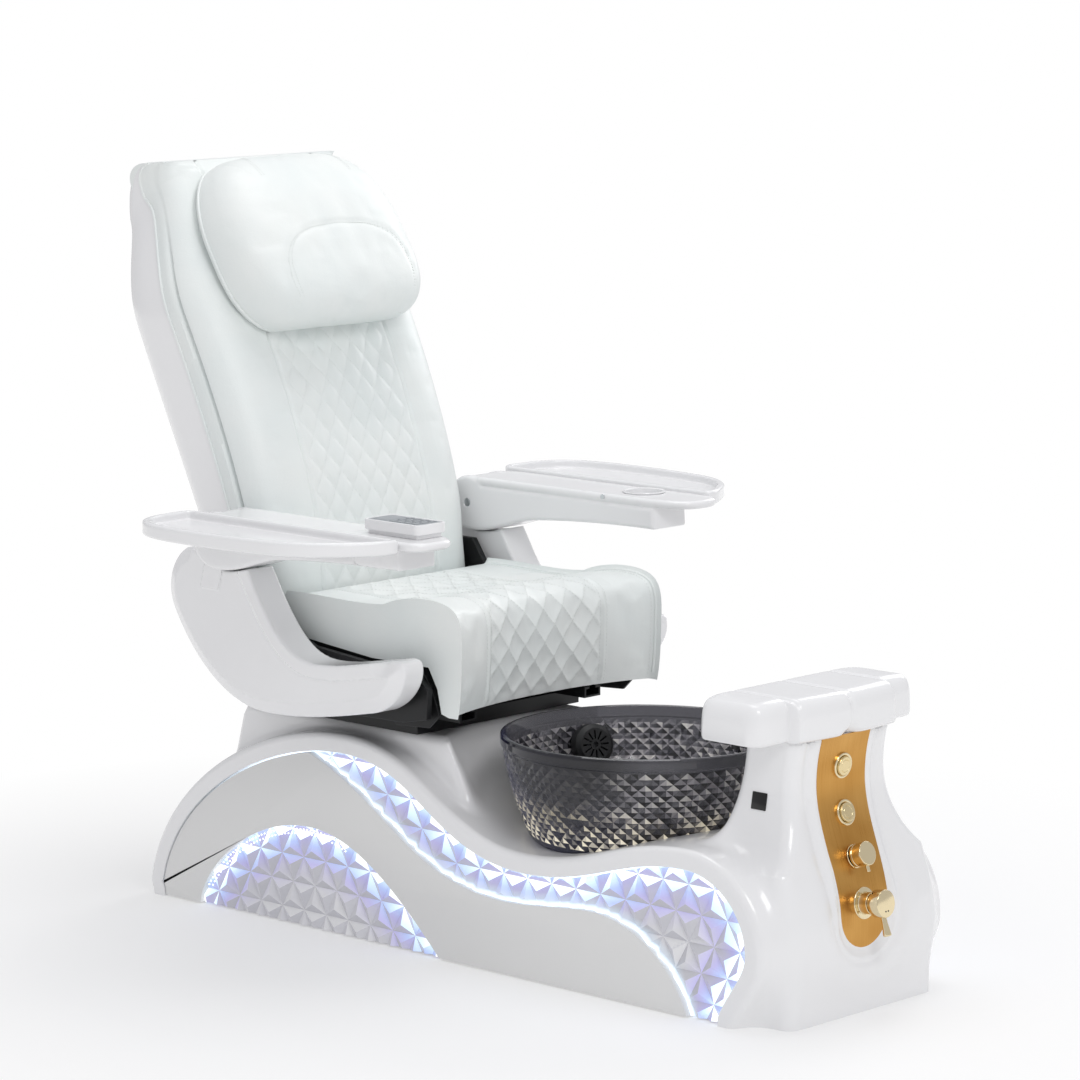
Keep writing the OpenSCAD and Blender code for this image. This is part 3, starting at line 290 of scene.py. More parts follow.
def join(name, things):
    """Several objects as one mesh."""
    bm = bmesh.new()
    mats = []
    for t in things:
        own = [m for m in t.data.materials]
        start = len(bm.faces)
        t.data.transform(t.matrix_world)
        bm.from_mesh(t.data)
        bm.faces.ensure_lookup_table()
        for m in own:
            if m not in mats:
                mats.append(m)
        for f in bm.faces[start:]:
            if own:
                f.material_index = mats.index(own[min(f.material_index, len(own) - 1)])
        bpy.data.objects.remove(t)
    mesh = bpy.data.meshes.new(name)
    bm.to_mesh(mesh)
    bm.free()
    for m in mats:
        mesh.materials.append(m)
    return linked(name, mesh)


def shade(thing, sharp=35, firm=False):
    """Smooth faces with sharp edges above an angle; firm keeps large faces flat up to their rounded edges."""
    thing.data.polygons.foreach_set("use_smooth", np.ones(len(thing.data.polygons), bool))
    if sharp:
        thing.data.set_sharp_from_angle(angle=math.radians(sharp))
    if firm:
        m = thing.modifiers.new("flat", "WEIGHTED_NORMAL")
        m.keep_sharp, m.weight = True, 100
        applied(thing)


def bevel(thing, width, segments=3, angle=30):
    """Rounds the edges sharper than an angle by a width in millimetres."""
    m = thing.modifiers.new("edges", "BEVEL")
    m.width, m.segments, m.limit_method, m.angle_limit = width / 1000, segments, "ANGLE", math.radians(angle)
    m.harden_normals = False
    return applied(thing)


def mirrored(thing, name):
    """The same piece on the other side."""
    twin = linked(name, thing.data.copy())
    return turned_over(twin)


def turned_over(thing):
    """A piece moved to the other side, with its faces still outward."""
    thing.data.transform(Matrix.Scale(-1, 4, (1, 0, 0)))
    thing.data.flip_normals()
    return thing


def dressed(name, source, width):
    """A new piece from a CAD node's mesh, with its flat faces joined and its edges rounded."""
    thing = linked(name, frame["nodes"][source].data.copy())
    thing.data.materials.clear()
    with edited(thing) as bm:
        bmesh.ops.remove_doubles(bm, verts=bm.verts, dist=1e-5)
        bmesh.ops.dissolve_limit(bm, angle_limit=math.radians(3), verts=bm.verts, edges=bm.edges)
    bevel(thing, width)
    shade(thing, firm=True)
    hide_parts(source)
    return thing


def dress(thing, material, body):
    """Material, body and material slot of a piece."""
    thing.data.materials.clear()
    thing.data.materials.append(material)
    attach(thing, body)
    return thing


# ---- materials ---------------------------------------------------------------------------------
def tint(code):
    """Linear RGBA from an sRGB hex code."""
    values = [int(code[i : i + 2], 16) / 255 for i in (1, 3, 5)]
    return (*[v / 12.92 if v <= 0.04045 else ((v + 0.055) / 1.055) ** 2.4 for v in values], 1.0)


def node(tree, kind, links=None, **settings):
    """Adds a node; settings are its properties, or its inputs by name; links join inputs to outputs."""
    made = tree.nodes.new(kind)
    for key, value in settings.items():
        if hasattr(made, key):
            setattr(made, key, value)
        else:
            made.inputs[key.replace("_", " ")].default_value = value
    for key, value in (links or {}).items():
        tree.links.new(value, made.inputs[key])
    return made


def material(name, **base):
    """A material with a Principled shader; base gives its inputs by name with _ for spaces."""
    found = bpy.data.materials.get(name)
    if found:
        return found, None, None
    made = bpy.data.materials.new(name)
    made.use_nodes = True
    tree = made.node_tree
    tree.nodes.clear()
    shader = node(tree, "ShaderNodeBsdfPrincipled")
    for key, value in base.items():
        shader.inputs[key.replace("_", " ")].default_value = value
    node(tree, "ShaderNodeOutputMaterial", {"Surface": shader.outputs[0]})
    return made, tree, shader


def feed(tree, shader, **inputs):
    """Outputs linked to a shader's inputs, by name with _ for spaces."""
    for key, value in inputs.items():
        tree.links.new(value, shader.inputs[key.replace("_", " ")])


def noise(tree, scale, detail=3.0, rough=0.5, vector=None):
    """A noise texture over the object, or over the given coordinates."""
    place = vector or node(tree, "ShaderNodeTexCoord").outputs["Object"]
    return node(tree, "ShaderNodeTexNoise", {"Vector": place}, Scale=scale, Detail=detail, Roughness=rough)


def spread(tree, value, low, high, out_low, out_high):
    """Maps a value's range onto another."""
    made = node(tree, "ShaderNodeMapRange", {"Value": value})
    for key, v in (("From Min", low), ("From Max", high), ("To Min", out_low), ("To Max", out_high)):
        made.inputs[key].default_value = v
    return made.outputs[0]


def ramp(tree, value, stops):
    """Colour ramp from (place, colour) pairs."""
    made = node(tree, "ShaderNodeValToRGB", {"Fac": value})
    band = made.color_ramp
    while len(band.elements) < len(stops):
        band.elements.new(0.5)
    for e, (place, colour) in zip(band.elements, stops):
        e.position, e.color = place, colour
    return made.outputs["Color"]


def attribute(tree, name):
    """A piece's own attribute as an output."""
    return node(tree, "ShaderNodeAttribute", attribute_name=name).outputs["Fac"]


def math_node(tree, operation, a, b):
    """One step of arithmetic between two outputs."""
    return node(tree, "ShaderNodeMath", {0: a, 1: b}, operation=operation).outputs[0]


def mixed(tree, share, colour, other, blend="MIX"):
    """A colour output mixed with another output or with a fixed colour."""
    made = node(tree, "ShaderNodeMix", {"Factor": share}, data_type="RGBA", blend_type=blend)
    tree.links.new(colour, made.inputs[6])
    if isinstance(other, tuple):
        made.inputs[7].default_value = other
    else:
        tree.links.new(other, made.inputs[7])
    return made.outputs[2]


def bump(tree, height, strength, distance, normal=None):
    """A normal from a height, on top of another normal if one is given."""
    links = {"Height": height}
    if normal:
        links["Normal"] = normal
    return node(tree, "ShaderNodeBump", links, Strength=strength, Distance=distance).outputs[0]


def gloss_white(name="gel coated white fibreglass", colour="#EDEDEE", rough=0.16):
    """Gel-coated fibreglass: a clear glossy skin with a faint orange peel and hand-polish marks."""
    made, tree, shader = material(name, Base_Color=tint(colour), Coat_Weight=0.35, Coat_Roughness=0.05,
                                  IOR=1.48)
    if tree:
        peel = noise(tree, 90, 2)
        cloud = noise(tree, 6, 3)
        feed(tree, shader, Roughness=spread(tree, cloud.outputs["Fac"], 0.3, 0.7, rough, rough + 0.1))
        feed(tree, shader, Normal=bump(tree, peel.outputs["Fac"], 0.05, 0.0006))
    return made


def satin_white():
    """Moulded plastic side panels: finer than the shell, a little greyer and less shiny."""
    made, tree, shader = material("satin white side panel", Base_Color=tint("#E2E2E1"), IOR=1.46)
    if tree:
        grain = noise(tree, 900, 2)
        cloud = noise(tree, 4, 2)
        feed(tree, shader, Roughness=spread(tree, cloud.outputs["Fac"], 0.3, 0.7, 0.34, 0.44))
        feed(tree, shader, Normal=bump(tree, grain.outputs["Fac"], 0.06, 0.0003))
    return made


def black_plastic(name="textured black plastic", colour="#111214", rough=0.38):
    """Moulded black plastic with a fine spark texture."""
    made, tree, shader = material(name, Base_Color=tint(colour), IOR=1.5)
    if tree:
        grain = noise(tree, 1600, 2)
        feed(tree, shader, Roughness=spread(tree, grain.outputs["Fac"], 0.3, 0.7, rough, rough + 0.12))
        feed(tree, shader, Normal=bump(tree, grain.outputs["Fac"], 0.15, 0.0003))
    return made


def plated(name, colour, rough, brushed=0.0):
    """Plated or bare metal; brushed adds fine lines along X."""
    made, tree, shader = material(name, Base_Color=tint(colour), Metallic=1.0)
    if tree:
        place = node(tree, "ShaderNodeTexCoord").outputs["Object"]
        if brushed:
            place = node(tree, "ShaderNodeMapping", {"Vector": place}, Scale=(6, 900, 900)).outputs[0]
            lines = noise(tree, 1.0, 3, 0.6, place)
            wear = spread(tree, lines.outputs["Fac"], 0.3, 0.7, rough - 0.06, rough + 0.08)
            feed(tree, shader, Roughness=wear)
            feed(tree, shader, Normal=bump(tree, lines.outputs["Fac"], brushed, 0.0002))
        else:
            marks = noise(tree, 60, 4)
            feed(tree, shader, Roughness=spread(tree, marks.outputs["Fac"], 0.3, 0.8, rough, rough + 0.06))
    return made


def rubber():
    """Moulded black rubber with a dusty bloom."""
    made, tree, shader = material("black rubber", IOR=1.5)
    if tree:
        dust = noise(tree, 40, 4)
        bloom = ramp(tree, dust.outputs["Fac"], [(0.35, tint("#151515")), (0.75, tint("#26262A"))])
        feed(tree, shader, Base_Color=bloom)
        feed(tree, shader, Roughness=spread(tree, dust.outputs["Fac"], 0.3, 0.7, 0.6, 0.8))
    return made


def glow(name, colour, power):
    """Diffused light strip: an emitting face under a milky cover."""
    return material(name, Base_Color=tint(colour), Roughness=0.4, Emission_Color=tint(colour),
                    Emission_Strength=power)[0]


# ---- shape of the moulded base (millimetres) ---------------------------------------------------
HALF, RIM, RECESS, GAP, LIFT = 247.0, 35.0, 22.0, 3.0, 3.0
PANEL_FOOT, PANEL_TOP, PANEL_HALF = 114.0, 480.0, 65.0
BOWL_Y, BOWL_LOW, BOWL_HIGH = -306.0, 242.0, 395.0


def outline():
    """Side view of the base from the rear foot over arch, valley and hump to the front foot."""
    heel, arch, valley = (743, 25), (214, 380), (-242, 228)
    hump, nose, toe = (-615, 294), (-788, 129), (-725, 0)
    curves = []
    for a, out, into, b in (
        (heel, (-30.9, 205.9), (222.2, 0), arch),
        (arch, (-214.3, 0), (214.3, 0), valley),
        (valley, (-149.2, 0), (149.2, 0), hump),
        (hump, (-93.4, 0), (0, 92.4), nose),
        (nose, (0, -49), (-22.1, 49), toe),
    ):
        a, b = np.array(a, float), np.array(b, float)
        curves.append([a, a + out, b + into, b])
    return chain([[(735, 0)]] + curves)


def strip_edge():
    """Lower edge of the facet strip, from under the arch down to the floor."""
    start, low, swell, foot = np.array([(350.0, 347.0), (-190, 134), (-395, 150), (-624, 0)])
    return chain([
        [start, start + (-230, -52), low + (246, 0), low],
        [low, low - (68, 0), swell + (50, 0), swell],
        [swell, swell - (108, 0), foot + (34, 83), foot],
    ])


def fan_edge():
    """The arch round the rear fan of facets."""
    top = np.array([300.0, 194.0])
    return chain([
        [(602, 0), (602, 59), top + (176, 0), top],
        [top, top - (118, 0), (71, 105), (-34, 0)],
    ])


def panel_y(z):
    """Where the face of the gold panel lies at a height."""
    z = np.asarray(z, float)
    return -(754 + np.where(z < 400, 56 * smooth((400 - z) / 235), 14 * ((z - 400) / 86) ** 2))


def bowl_radius(z):
    """Radius of the bowl's wall at a height: a cone that bulges a little."""
    t = np.clip((z - BOWL_LOW) / (BOWL_HIGH - BOWL_LOW), 0, 1)
    return lerp(205, 252, t) + 6 * np.sin(math.pi * t)


def smin(a, b, k):
    """The union of two signed distances, blended over k."""
    h = np.maximum(k - np.abs(a - b), 0) / k
    return np.minimum(a, b) - h * h * k / 4


def smax(a, b, k):
    """The overlap of two signed distances, blended over k."""
    return -smin(-a, -b, k)


def corner(a, b, r):
    """Where two solids meet with a rounded edge of radius r."""
    return np.hypot(np.maximum(a + r, 0), np.maximum(b + r, 0)) + np.minimum(np.maximum(a, b) + r, 0) - r


class Field:
    """A signed distance, negative inside, with its gradient."""

    span = 0.3

    def __init__(self, value):
        self.value = value

    def __call__(self, x, y, z):
        return self.value(x, y, z)

    def gradient(self, p, span=None):
        e = span or self.span
        return np.stack([self(*(p + e * d).T) - self(*(p - e * d).T) for d in np.eye(3)], 1) / (2 * e)


class BaseField(Field):
    """The whole white base: body, seat pedestal and footrest column in one moulding."""

    span = 0.4

    def __init__(self):
        line = outline()
        self.side = profile(np.vstack([line, [(-725, -120), (735, -120)]]), (-940, -60), (840, 500))
        pedestal = [(562, 150), (556, 290), (534, 370), (522, 389), (508, 397), (-14, 397), (-120, 150)]
        self.pedestal_side = profile(np.array(pedestal, float), (-200, 100), (640, 500))

    def crowned(self, x, y, z):
        """The body, whose nose stands further forward in the middle."""
        bulge, back = 52 * (1 - np.minimum(np.abs(x) / HALF, 1) ** 2), y
        for _ in range(4):
            back = y + bulge * smooth((-back - 470) / 318)
        return self.side(back, z)

    def column(self, x, y, z):
        """The footrest column, which flares towards its foot."""
        t = np.clip((480 - z) / 218, 0, 1)
        half, rear, front = 128 + 8 * t + 60 * t**4, -643 + 55 * t * t, panel_y(z) - 3
        qx, qy = np.abs(x) - half + 24, np.abs(y - (front + rear) / 2) - (rear - front) / 2 + 24
        flat = np.hypot(np.maximum(qx, 0), np.maximum(qy, 0)) + np.minimum(np.maximum(qx, qy), 0) - 24
        return np.maximum(flat, z - 480.4)

    def pedestal(self, x, y, z):
        """The seat pedestal, with a hollow front that follows the bowl."""
        block = corner(self.pedestal_side(y, z), np.abs(x) - 200, 18)
        slope = np.where(z < 286, 0.5, 0.52)
        niche = (np.hypot(x, y - BOWL_Y) - (300 + (z - 286) * slope)) * 0.88
        return smax(block, -niche, 10)

    def panel_valley(self, x, y, z):
        """The valley that the gold panel lies in, and how far a place lies from the panel's edge."""
        sheet = y - (panel_y(z) - 3)
        low = PANEL_FOOT + PANEL_HALF
        pill = np.where(z > low, np.abs(x), np.hypot(x, z - low)) - PANEL_HALF
        wall = (pill - 13 + np.minimum(sheet, 0) * 0.9) * 0.74
        return smax(sheet * 0.97, wall, 16), pill

    def __call__(self, x, y, z):
        body = corner(self.crowned(x, y, z), np.abs(x) - HALF, 12)
        whole = smin(body, self.pedestal(x, y, z), 18)
        whole = smin(whole, self.column(x, y, z), 34)
        valley, pill = self.panel_valley(x, y, z)
        whole = smax(whole, -valley, lerp(3, 34, smooth((pill - 6) / 22)))
        seat = np.hypot(x, y - BOWL_Y) - np.where(z < 242, 190 + (z - 226) * 1.2, bowl_radius(z) + 4)
        return smax(whole, -np.maximum(seat * 0.95, 226 - z), 3)


def sampled(field, low, n, cell):
    """A field's values on a grid, one plane of constant x at a time."""
    axes = [low[i] + cell * np.arange(n[i]) for i in range(3)]
    y, z = np.meshgrid(axes[1], axes[2], indexing="ij")
    value = np.empty(n)
    for i, x in enumerate(axes[0]):
        value[i] = field(np.full(y.shape, x), y, z)
    return value


def crossings(value, axis):
    """Grid edges along an axis where a value changes sign: their starts, the places, and which start inside."""
    lo, hi = [slice(None)] * 3, [slice(None)] * 3
    lo[axis], hi[axis] = slice(0, -1), slice(1, None)
    lo, hi = tuple(lo), tuple(hi)
    where = np.argwhere((value[lo] < 0) != (value[hi] < 0))
    a, b = value[lo][tuple(where.T)], value[hi][tuple(where.T)]
    at = where.astype(float)
    at[:, axis] += a / (a - b)
    return where, at, a < 0


def beside(where, axis, shift, n):
    """The cells on one side of grid edges along an axis, and whether each lies in the grid."""
    across = [i for i in range(3) if i != axis]
    cell = where.copy()
    cell[:, across] -= shift
    return cell, ((cell >= 0) & (cell < n - 1)).all(1)


AROUND = ((0, 0), (1, 0), (1, 1), (0, 1))


def surface_net(field, low, high, cell):
    """Quads where a field changes sign on a grid, with their corners drawn onto its zero surface."""
    low = np.array(low, float)
    n = np.ceil((np.array(high) - low) / cell).astype(int) + 1
    value = sampled(field, low, n, cell)
    cuts = [crossings(value, axis) for axis in range(3)]
    total, count = np.zeros((*(n - 1), 3)), np.zeros(n - 1)
    for axis, (where, at, _) in enumerate(cuts):
        for shift in sorted(AROUND):
            cells, ok = beside(where, axis, shift, n)
            np.add.at(total, tuple(cells[ok].T), at[ok])
            np.add.at(count, tuple(cells[ok].T), 1)
    used = tuple(np.argwhere(count > 0).T)
    index = np.full(n - 1, -1)
    index[used] = np.arange(len(used[0]))
    points = low + cell * total[used] / count[used][:, None]
    faces = []
    for axis, (where, _, start_in) in enumerate(cuts):
        ring = []
        for shift in AROUND:
            cells, ok = beside(where, axis, shift, n)
            ring.append(np.where(ok, index[tuple(np.clip(cells, 0, n - 2).T)], -1))
        quad = np.stack(ring, 1)
        flip = start_in == (axis == 1)
        quad[flip] = quad[flip][:, ::-1]
        faces.append(quad[(quad >= 0).all(1)])
    return drawn(field, points, 4), np.vstack(faces)


def drawn(field, points, rounds, most=4.0):
    """Points moved onto the field's zero surface."""
    for _ in range(rounds):
        f = field(*points.T)
        g = field.gradient(points)
        move = -f[:, None] * g / np.maximum((g * g).sum(1), 0.2)[:, None]
        size = np.linalg.norm(move, axis=1)
        points = points + move * np.minimum(1, most / np.maximum(size, 1e-9))[:, None]
    return points


def outer_region(d):
    """Closed side view of the base inside a margin d, reaching below the floor."""
    line = inset(outline(), d)
    return np.vstack([line, [(line[-1][0], -60), (line[0][0], -60)]])


def set_field_normals(thing, field, reach=0.35):
    """Exact shading on the faces that lie on the field, flat shading on the others."""
    mesh = thing.data
    slope = unit(field.gradient(read(mesh.vertices, "co", 3) * 1000, 0.8))
    normal = read(mesh.polygons, "normal", 3)
    centre = read(mesh.polygons, "center", 3) * 1000
    own = unit(field.gradient(centre, 0.8))
    on = (np.abs(field(*centre.T)) < reach) & ((own * normal).sum(1) > 0.8)
    size = read(mesh.polygons, "loop_total", kind=np.int32)
    face = np.repeat(np.arange(len(size)), size)
    vert = read(mesh.loops, "vertex_index", kind=np.int32)
    follows = on[face] & ((slope[vert] * normal[face]).sum(1) > 0.5)
    mesh.polygons.foreach_set("use_smooth", np.ones(len(size), bool))
    mesh.normals_split_custom_set(np.where(follows[:, None], slope[vert], normal[face]).tolist())


def recess_tool(side):
    """What is cut out of the base's side for the lit panels, with a small chamfer at its mouth."""
    rings = []
    for x, d in ((HALF - RECESS, RIM), (HALF - 1.6, RIM), (HALF + 0.4, RIM - 2)):
        rings.append([(side * x, y, z) for y, z in outer_region(d)])
    return loft("tool", rings)


def build_base():
    """The white moulding: its outer skin, closed at the floor, less its hollows and side recesses."""
    field = BaseField()
    cell = 5
    base = new_mesh("moulded_base", *surface_net(field, (-257.5, -880, -22.5), (257.5, 770, 497.5), cell))
    with edited(base) as bm:
        everything = bm.verts[:] + bm.edges[:] + bm.faces[:]
        floor = {"plane_co": (0, 0, 0), "plane_no": (0, 0, -1)}
        cut = bmesh.ops.bisect_plane(bm, geom=everything, clear_outer=True, **floor)["geom_cut"]
        bmesh.ops.contextual_create(bm, geom=[e for e in cut if isinstance(e, bmesh.types.BMEdge)])
        bmesh.ops.recalc_face_normals(bm, faces=bm.faces)
    inner = spaced(inset(outline(), 9), 25)
    under_body = np.vstack([inner, [(inner[-1][0], -40), (inner[0][0], -40)]])
    under_seat = [(546, 140), (520, 370), (506, 388), (90, 388), (90, 140)]
    combine(base, prism("tool", under_body, -213, 213))
    combine(base, prism("tool", under_seat, -191, 191))
    for side in (RIGHT, LEFT):
        combine(base, recess_tool(side))
    set_field_normals(base, field)
    dress(base, gloss_white(), "base")
    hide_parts("base_shell", "seat_pedestal", "footrest_column")


# ---- lit side panels ---------------------------------------------------------------------------
FACET, FACET_H, FACET_BASE = 58.0, 9.0, 5.0


def panel_region(d=RIM + GAP, low=LIFT):
    """Closed side view of the space inside the rim, from just above the floor."""
    line = inset(outline(), d)
    line = line[line[:, 1] >= low]
    return np.vstack([[(line[0][0], low)], line, [(line[-1][0], low)]])


def over_strip():
    """Closed side view of what lies above the strip's lower edge."""
    return np.vstack([strip_edge(), [(-624, -60), (-900, -60), (-900, 460), (350, 460)]])


def under_fan():
    """Closed side view of what lies under the fan's arch."""
    return np.vstack([[(602, -60)], fan_edge(), [(-34, -60)]])


def pyramids(y0, y1, z0, z1):
    """A sheet of three-sided facets on a triangular grid, standing on the recess floor."""
    row = FACET * math.sqrt(3) / 2
    ni, nj = math.ceil((y1 - y0) / FACET) + 1, math.ceil((z1 - z0) / row)
    back, top = HALF - RECESS, HALF - RECESS + FACET_BASE
    grid = [(y0 + (i + (j % 2) / 2) * FACET - FACET / 2, z0 + j * row)
            for j in range(nj + 1) for i in range(ni + 1)]
    points = [(top, *g) for g in grid] + [(back, *g) for g in grid]
    under = len(grid)
    faces = []
    for j in range(nj):
        for i in range(ni):
            a = j * (ni + 1) + i
            b, c, d = a + 1, a + ni + 1, a + ni + 2
            for t in ((a, b, c), (b, d, c)) if j % 2 == 0 else ((a, d, c), (a, b, d)):
                peak = len(points)
                points.append((top + FACET_H, *np.mean([grid[k] for k in t], axis=0)))
                faces += [(peak, t[0], t[1]), (peak, t[1], t[2]), (peak, t[2], t[0])]
                faces.append((t[2] + under, t[1] + under, t[0] + under))
    edge = list(range(ni)) + [j * (ni + 1) + ni for j in range(nj)]
    edge += [nj * (ni + 1) + i for i in range(ni, 0, -1)] + [j * (ni + 1) for j in range(nj, 0, -1)]
    faces += [(a, b, b + under, a + under) for a, b in zip(edge, edge[1:] + edge[:1])]
    return new_mesh("facets", points, faces)


def lit_facets(name, sheet, areas, lights):
    """Facets cut to their areas, with each point's distance to the light line above and to the lower edge,
    where a highlight is painted, as attributes.
    """
    for area in areas:
        combine(sheet, prism("tool", area, HALF - RECESS - 20, HALF + 20), "INTERSECT")
    with edited(sheet) as bm:
        bmesh.ops.remove_doubles(bm, verts=bm.verts, dist=2e-5)
        bmesh.ops.dissolve_degenerate(bm, dist=1e-5, edges=bm.edges)
        bmesh.ops.triangulate(bm, faces=bm.faces[:])
        for _ in range(3):
            long = [e for e in bm.edges if e.calc_length() > 0.014]
            bmesh.ops.subdivide_edges(bm, edges=long, cuts=1, use_grid_fill=True)
            bmesh.ops.triangulate(bm, faces=bm.faces[:])
    sheet.name = name
    sheet.data.validate()
    faces = sheet.data.polygons
    # how much each face looks towards the upper light line
    middle, slope = read(faces, "center", 3)[:, 1:] * 1000, read(faces, "normal", 3)[:, 1:]
    reach = [away(middle + d, lights["upper"]) for d in ((4, 0), (-4, 0), (0, 4), (0, -4))]
    toward = np.stack([reach[1] - reach[0], reach[3] - reach[2]], 1) / 8
    facing = np.clip((slope * toward).sum(1) / 0.47, -1, 1)
    set_attribute(sheet, "facing", "CORNER", np.repeat(facing, read(faces, "loop_total", kind=np.int32)))
    places = read(sheet.data.vertices, "co", 3)[:, 1:] * 1000
    for key, line in lights.items():
        set_attribute(sheet, key, "POINT", away(places, line))
    return sheet


def facet_material(settings):
    """Lit acrylic facets: white and cyan by the light lines, violet further off, then plain pearl grey; painted
    shade on the facets that look away from the upper light line, and a painted highlight along the lower edge.
    """
    made, tree, shader = material("lit faceted acrylic", Roughness=0.25, IOR=1.49, Coat_Weight=0.2)
    if tree:
        upper, low, facing = [attribute(tree, key) for key in ("upper", "lower", "facing")]
        # light reaches further on the faces that look towards it
        far = math_node(tree, "ADD", upper, spread(tree, facing, -1, 1, 52, -14))
        colour = ramp(tree, spread(tree, far, 0, 140, 0, 1), [
            (0.0, tint("#FDFFFF")), (0.14, tint("#E0F7FF")), (0.28, tint("#C2D3FF")),
            (0.42, tint("#CFCBF7")), (0.6, tint("#E2E0F0")), (0.8, tint("#E6E6E8")),
        ])
        # painted shade: facets that look away from the upper light line are painted darker and the ones that
        # face it white, more so further from the light
        relief = ramp(tree, spread(tree, facing, -1, 1, 0, 1), [
            (0.0, tint("#D6D6DB")), (0.5, tint("#EAEAEE")), (1.0, tint("#FFFFFF")),
        ])
        shaded = mixed(tree, spread(tree, upper, 0, 60, 0.5, 1), colour, relief, "MULTIPLY")
        # painted highlight: pale cyan by the lower edge, where the side panel's bevel catches the light
        lit = mixed(tree, spread(tree, low, 3, 24, 1, 0), shaded, tint("#E2F1FF"))
        feed(tree, shader, Base_Color=lit)
        feed(tree, shader, Emission_Color=lit)
        near = spread(tree, far, 0, 95, 1, 0)
        power = spread(tree, math_node(tree, "MULTIPLY", near, near), 0, 1, 0.04, settings.light_power)
        # painted highlight: the side panel's bevel along the lower edge catching light, drawn as a narrow glow
        edge = spread(tree, low, 2, 12, settings.painted_edge_highlight, 0)
        feed(tree, shader, Emission_Strength=math_node(tree, "MAXIMUM", power, edge))
    return made


def keep_flat(thing, area):
    """Exactly flat shading on the large flat faces, whatever the bevels around them."""
    normals = [c.vector.copy() for c in thing.data.corner_normals]
    for face in thing.data.polygons:
        if face.area > area:
            for i in face.loop_indices:
                normals[i] = face.normal.copy()
    thing.data.normals_split_custom_set(normals)


def side_panel():
    """The plain satin panel below the strip, less the fan."""
    x0, x1 = HALF - RECESS, HALF - 3
    panel = prism("side_panel_left_skin", panel_region(), x0, x1)
    combine(panel, prism("tool", over_strip(), x0 - 9, x1 + 9))
    combine(panel, prism("tool", under_fan(), x0 - 9, x1 + 9))
    bevel(panel, 2.2, 3, 40)
    shade(panel, 40, firm=True)
    keep_flat(panel, 0.05)
    return panel


def light_dots():
    """A double row of small lights on the fan's upper edge, on both sides."""
    rows = []
    for inner in (7.0, 15.0):
        arch = inset(fan_edge(), inner)
        arch = arch[(arch[:, 1] > 40) & (arch[:, 0] > 210)]
        rows.append(np.column_stack([np.full(len(arch), HALF - 6.5), arch]))
    light = glow("white light dot", "#F2FBFF", 2.0)
    for name, side in (("led_dots_right", RIGHT), ("led_dots_left", LEFT)):
        beads(name, [row * (side, 1, 1) for row in rows], 9.0, (1.5, 1.5, 1.5), light, "base")


def light_line():
    """A light strip that fills the gap between the rim and what lies inside it."""
    x0 = HALF - RECESS
    line = prism("light_line_left_skin", panel_region(RIM + 0.5), x0, x0 + 3)
    return combine(line, prism("tool", panel_region(RIM + GAP - 0.1, LIFT - 1), x0 - 5, x0 + 9))


def build_sides(settings):
    """Side panels, facet sheets and light lines of both sides."""
    region = panel_region()
    panel = side_panel()
    # the upper line is a light line; the lower edge carries only a painted highlight
    strip_light_and_highlight_edges = {"upper": inset(outline(), RIM + GAP), "lower": strip_edge()}
    fan_lights = {"upper": fan_edge(), "lower": np.array([(-900.0, -400), (900, -400)])}
    strip, fan = pyramids(-788, 370, -20, 380), pyramids(-74, 612, -20, 204)
    strip = lit_facets("facet_strip_left_skin", strip, (region, over_strip()), strip_light_and_highlight_edges)
    fan = lit_facets("facet_fan_left_skin", fan, (region, under_fan()), fan_lights)
    light_dots()
    for piece, mat, slot in (
        (panel, satin_white(), "panel_satin"),
        (strip, facet_material(settings), "lit_acrylic"),
        (fan, facet_material(settings), "lit_acrylic"),
        (light_line(), glow("cool white light line", "#E4F1FF", 1.3), "light"),
    ):
        stem = piece.name.replace("_left_skin", "")
        twin = mirrored(piece, stem + "_right_skin")
        for thing, side in ((piece, "left"), (twin, "right")):
            dress(thing, mat, "base")
            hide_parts(f"{stem}_{side}")


# ---- gold panel and controls -------------------------------------------------------------------
BUTTONS_Z, DIVERTER_Z, MIXER_Z = (424, 341), 268, 190


def at_panel(z):
    """Matrix of a place on the gold panel at a height, with local Z out of it."""
    y = float(panel_y(z))
    tilt = math.atan2(float(panel_y(z + 5) - panel_y(z - 5)), 10)
    return Matrix.Translation((0, y / 1000, z / 1000)) @ Matrix.Rotation(math.pi / 2 - tilt, 4, "X")


def placed(thing, matrix):
    """The thing with its mesh moved by a matrix."""
    thing.data.transform(matrix)
    return thing


def round_rim(r, z, e):
    """Corner of a turned profile rounded by e, from its side to its top."""
    return [(r - e + e * math.cos(a), z - e + e * math.sin(a)) for a in np.linspace(0, math.pi / 2, 5)]


def gold_panel():
    """The curved sheet on the column's valley: round at its foot, with its side edges folded back."""
    low = PANEL_FOOT + PANEL_HALF
    round_foot = low - PANEL_HALF * np.cos(np.linspace(0.06, math.pi / 2, 26))
    rings = []
    for z in np.r_[round_foot, np.linspace(low, PANEL_TOP - 0.2, 90)[1:]]:
        h = PANEL_HALF if z >= low else math.sqrt(max(PANEL_HALF**2 - (low - z) ** 2, 4))
        f, b = float(panel_y(z)) - 3.7, float(panel_y(z)) + 0.5
        row = [(-h, b, z), (-h, f + 0.7, z)] + [(x, f, z) for x in np.linspace(0.7 - h, h - 0.7, 9)]
        rings.append(row + [(h, f + 0.7, z), (h, b, z)])
    return loft("gold_panel", rings)


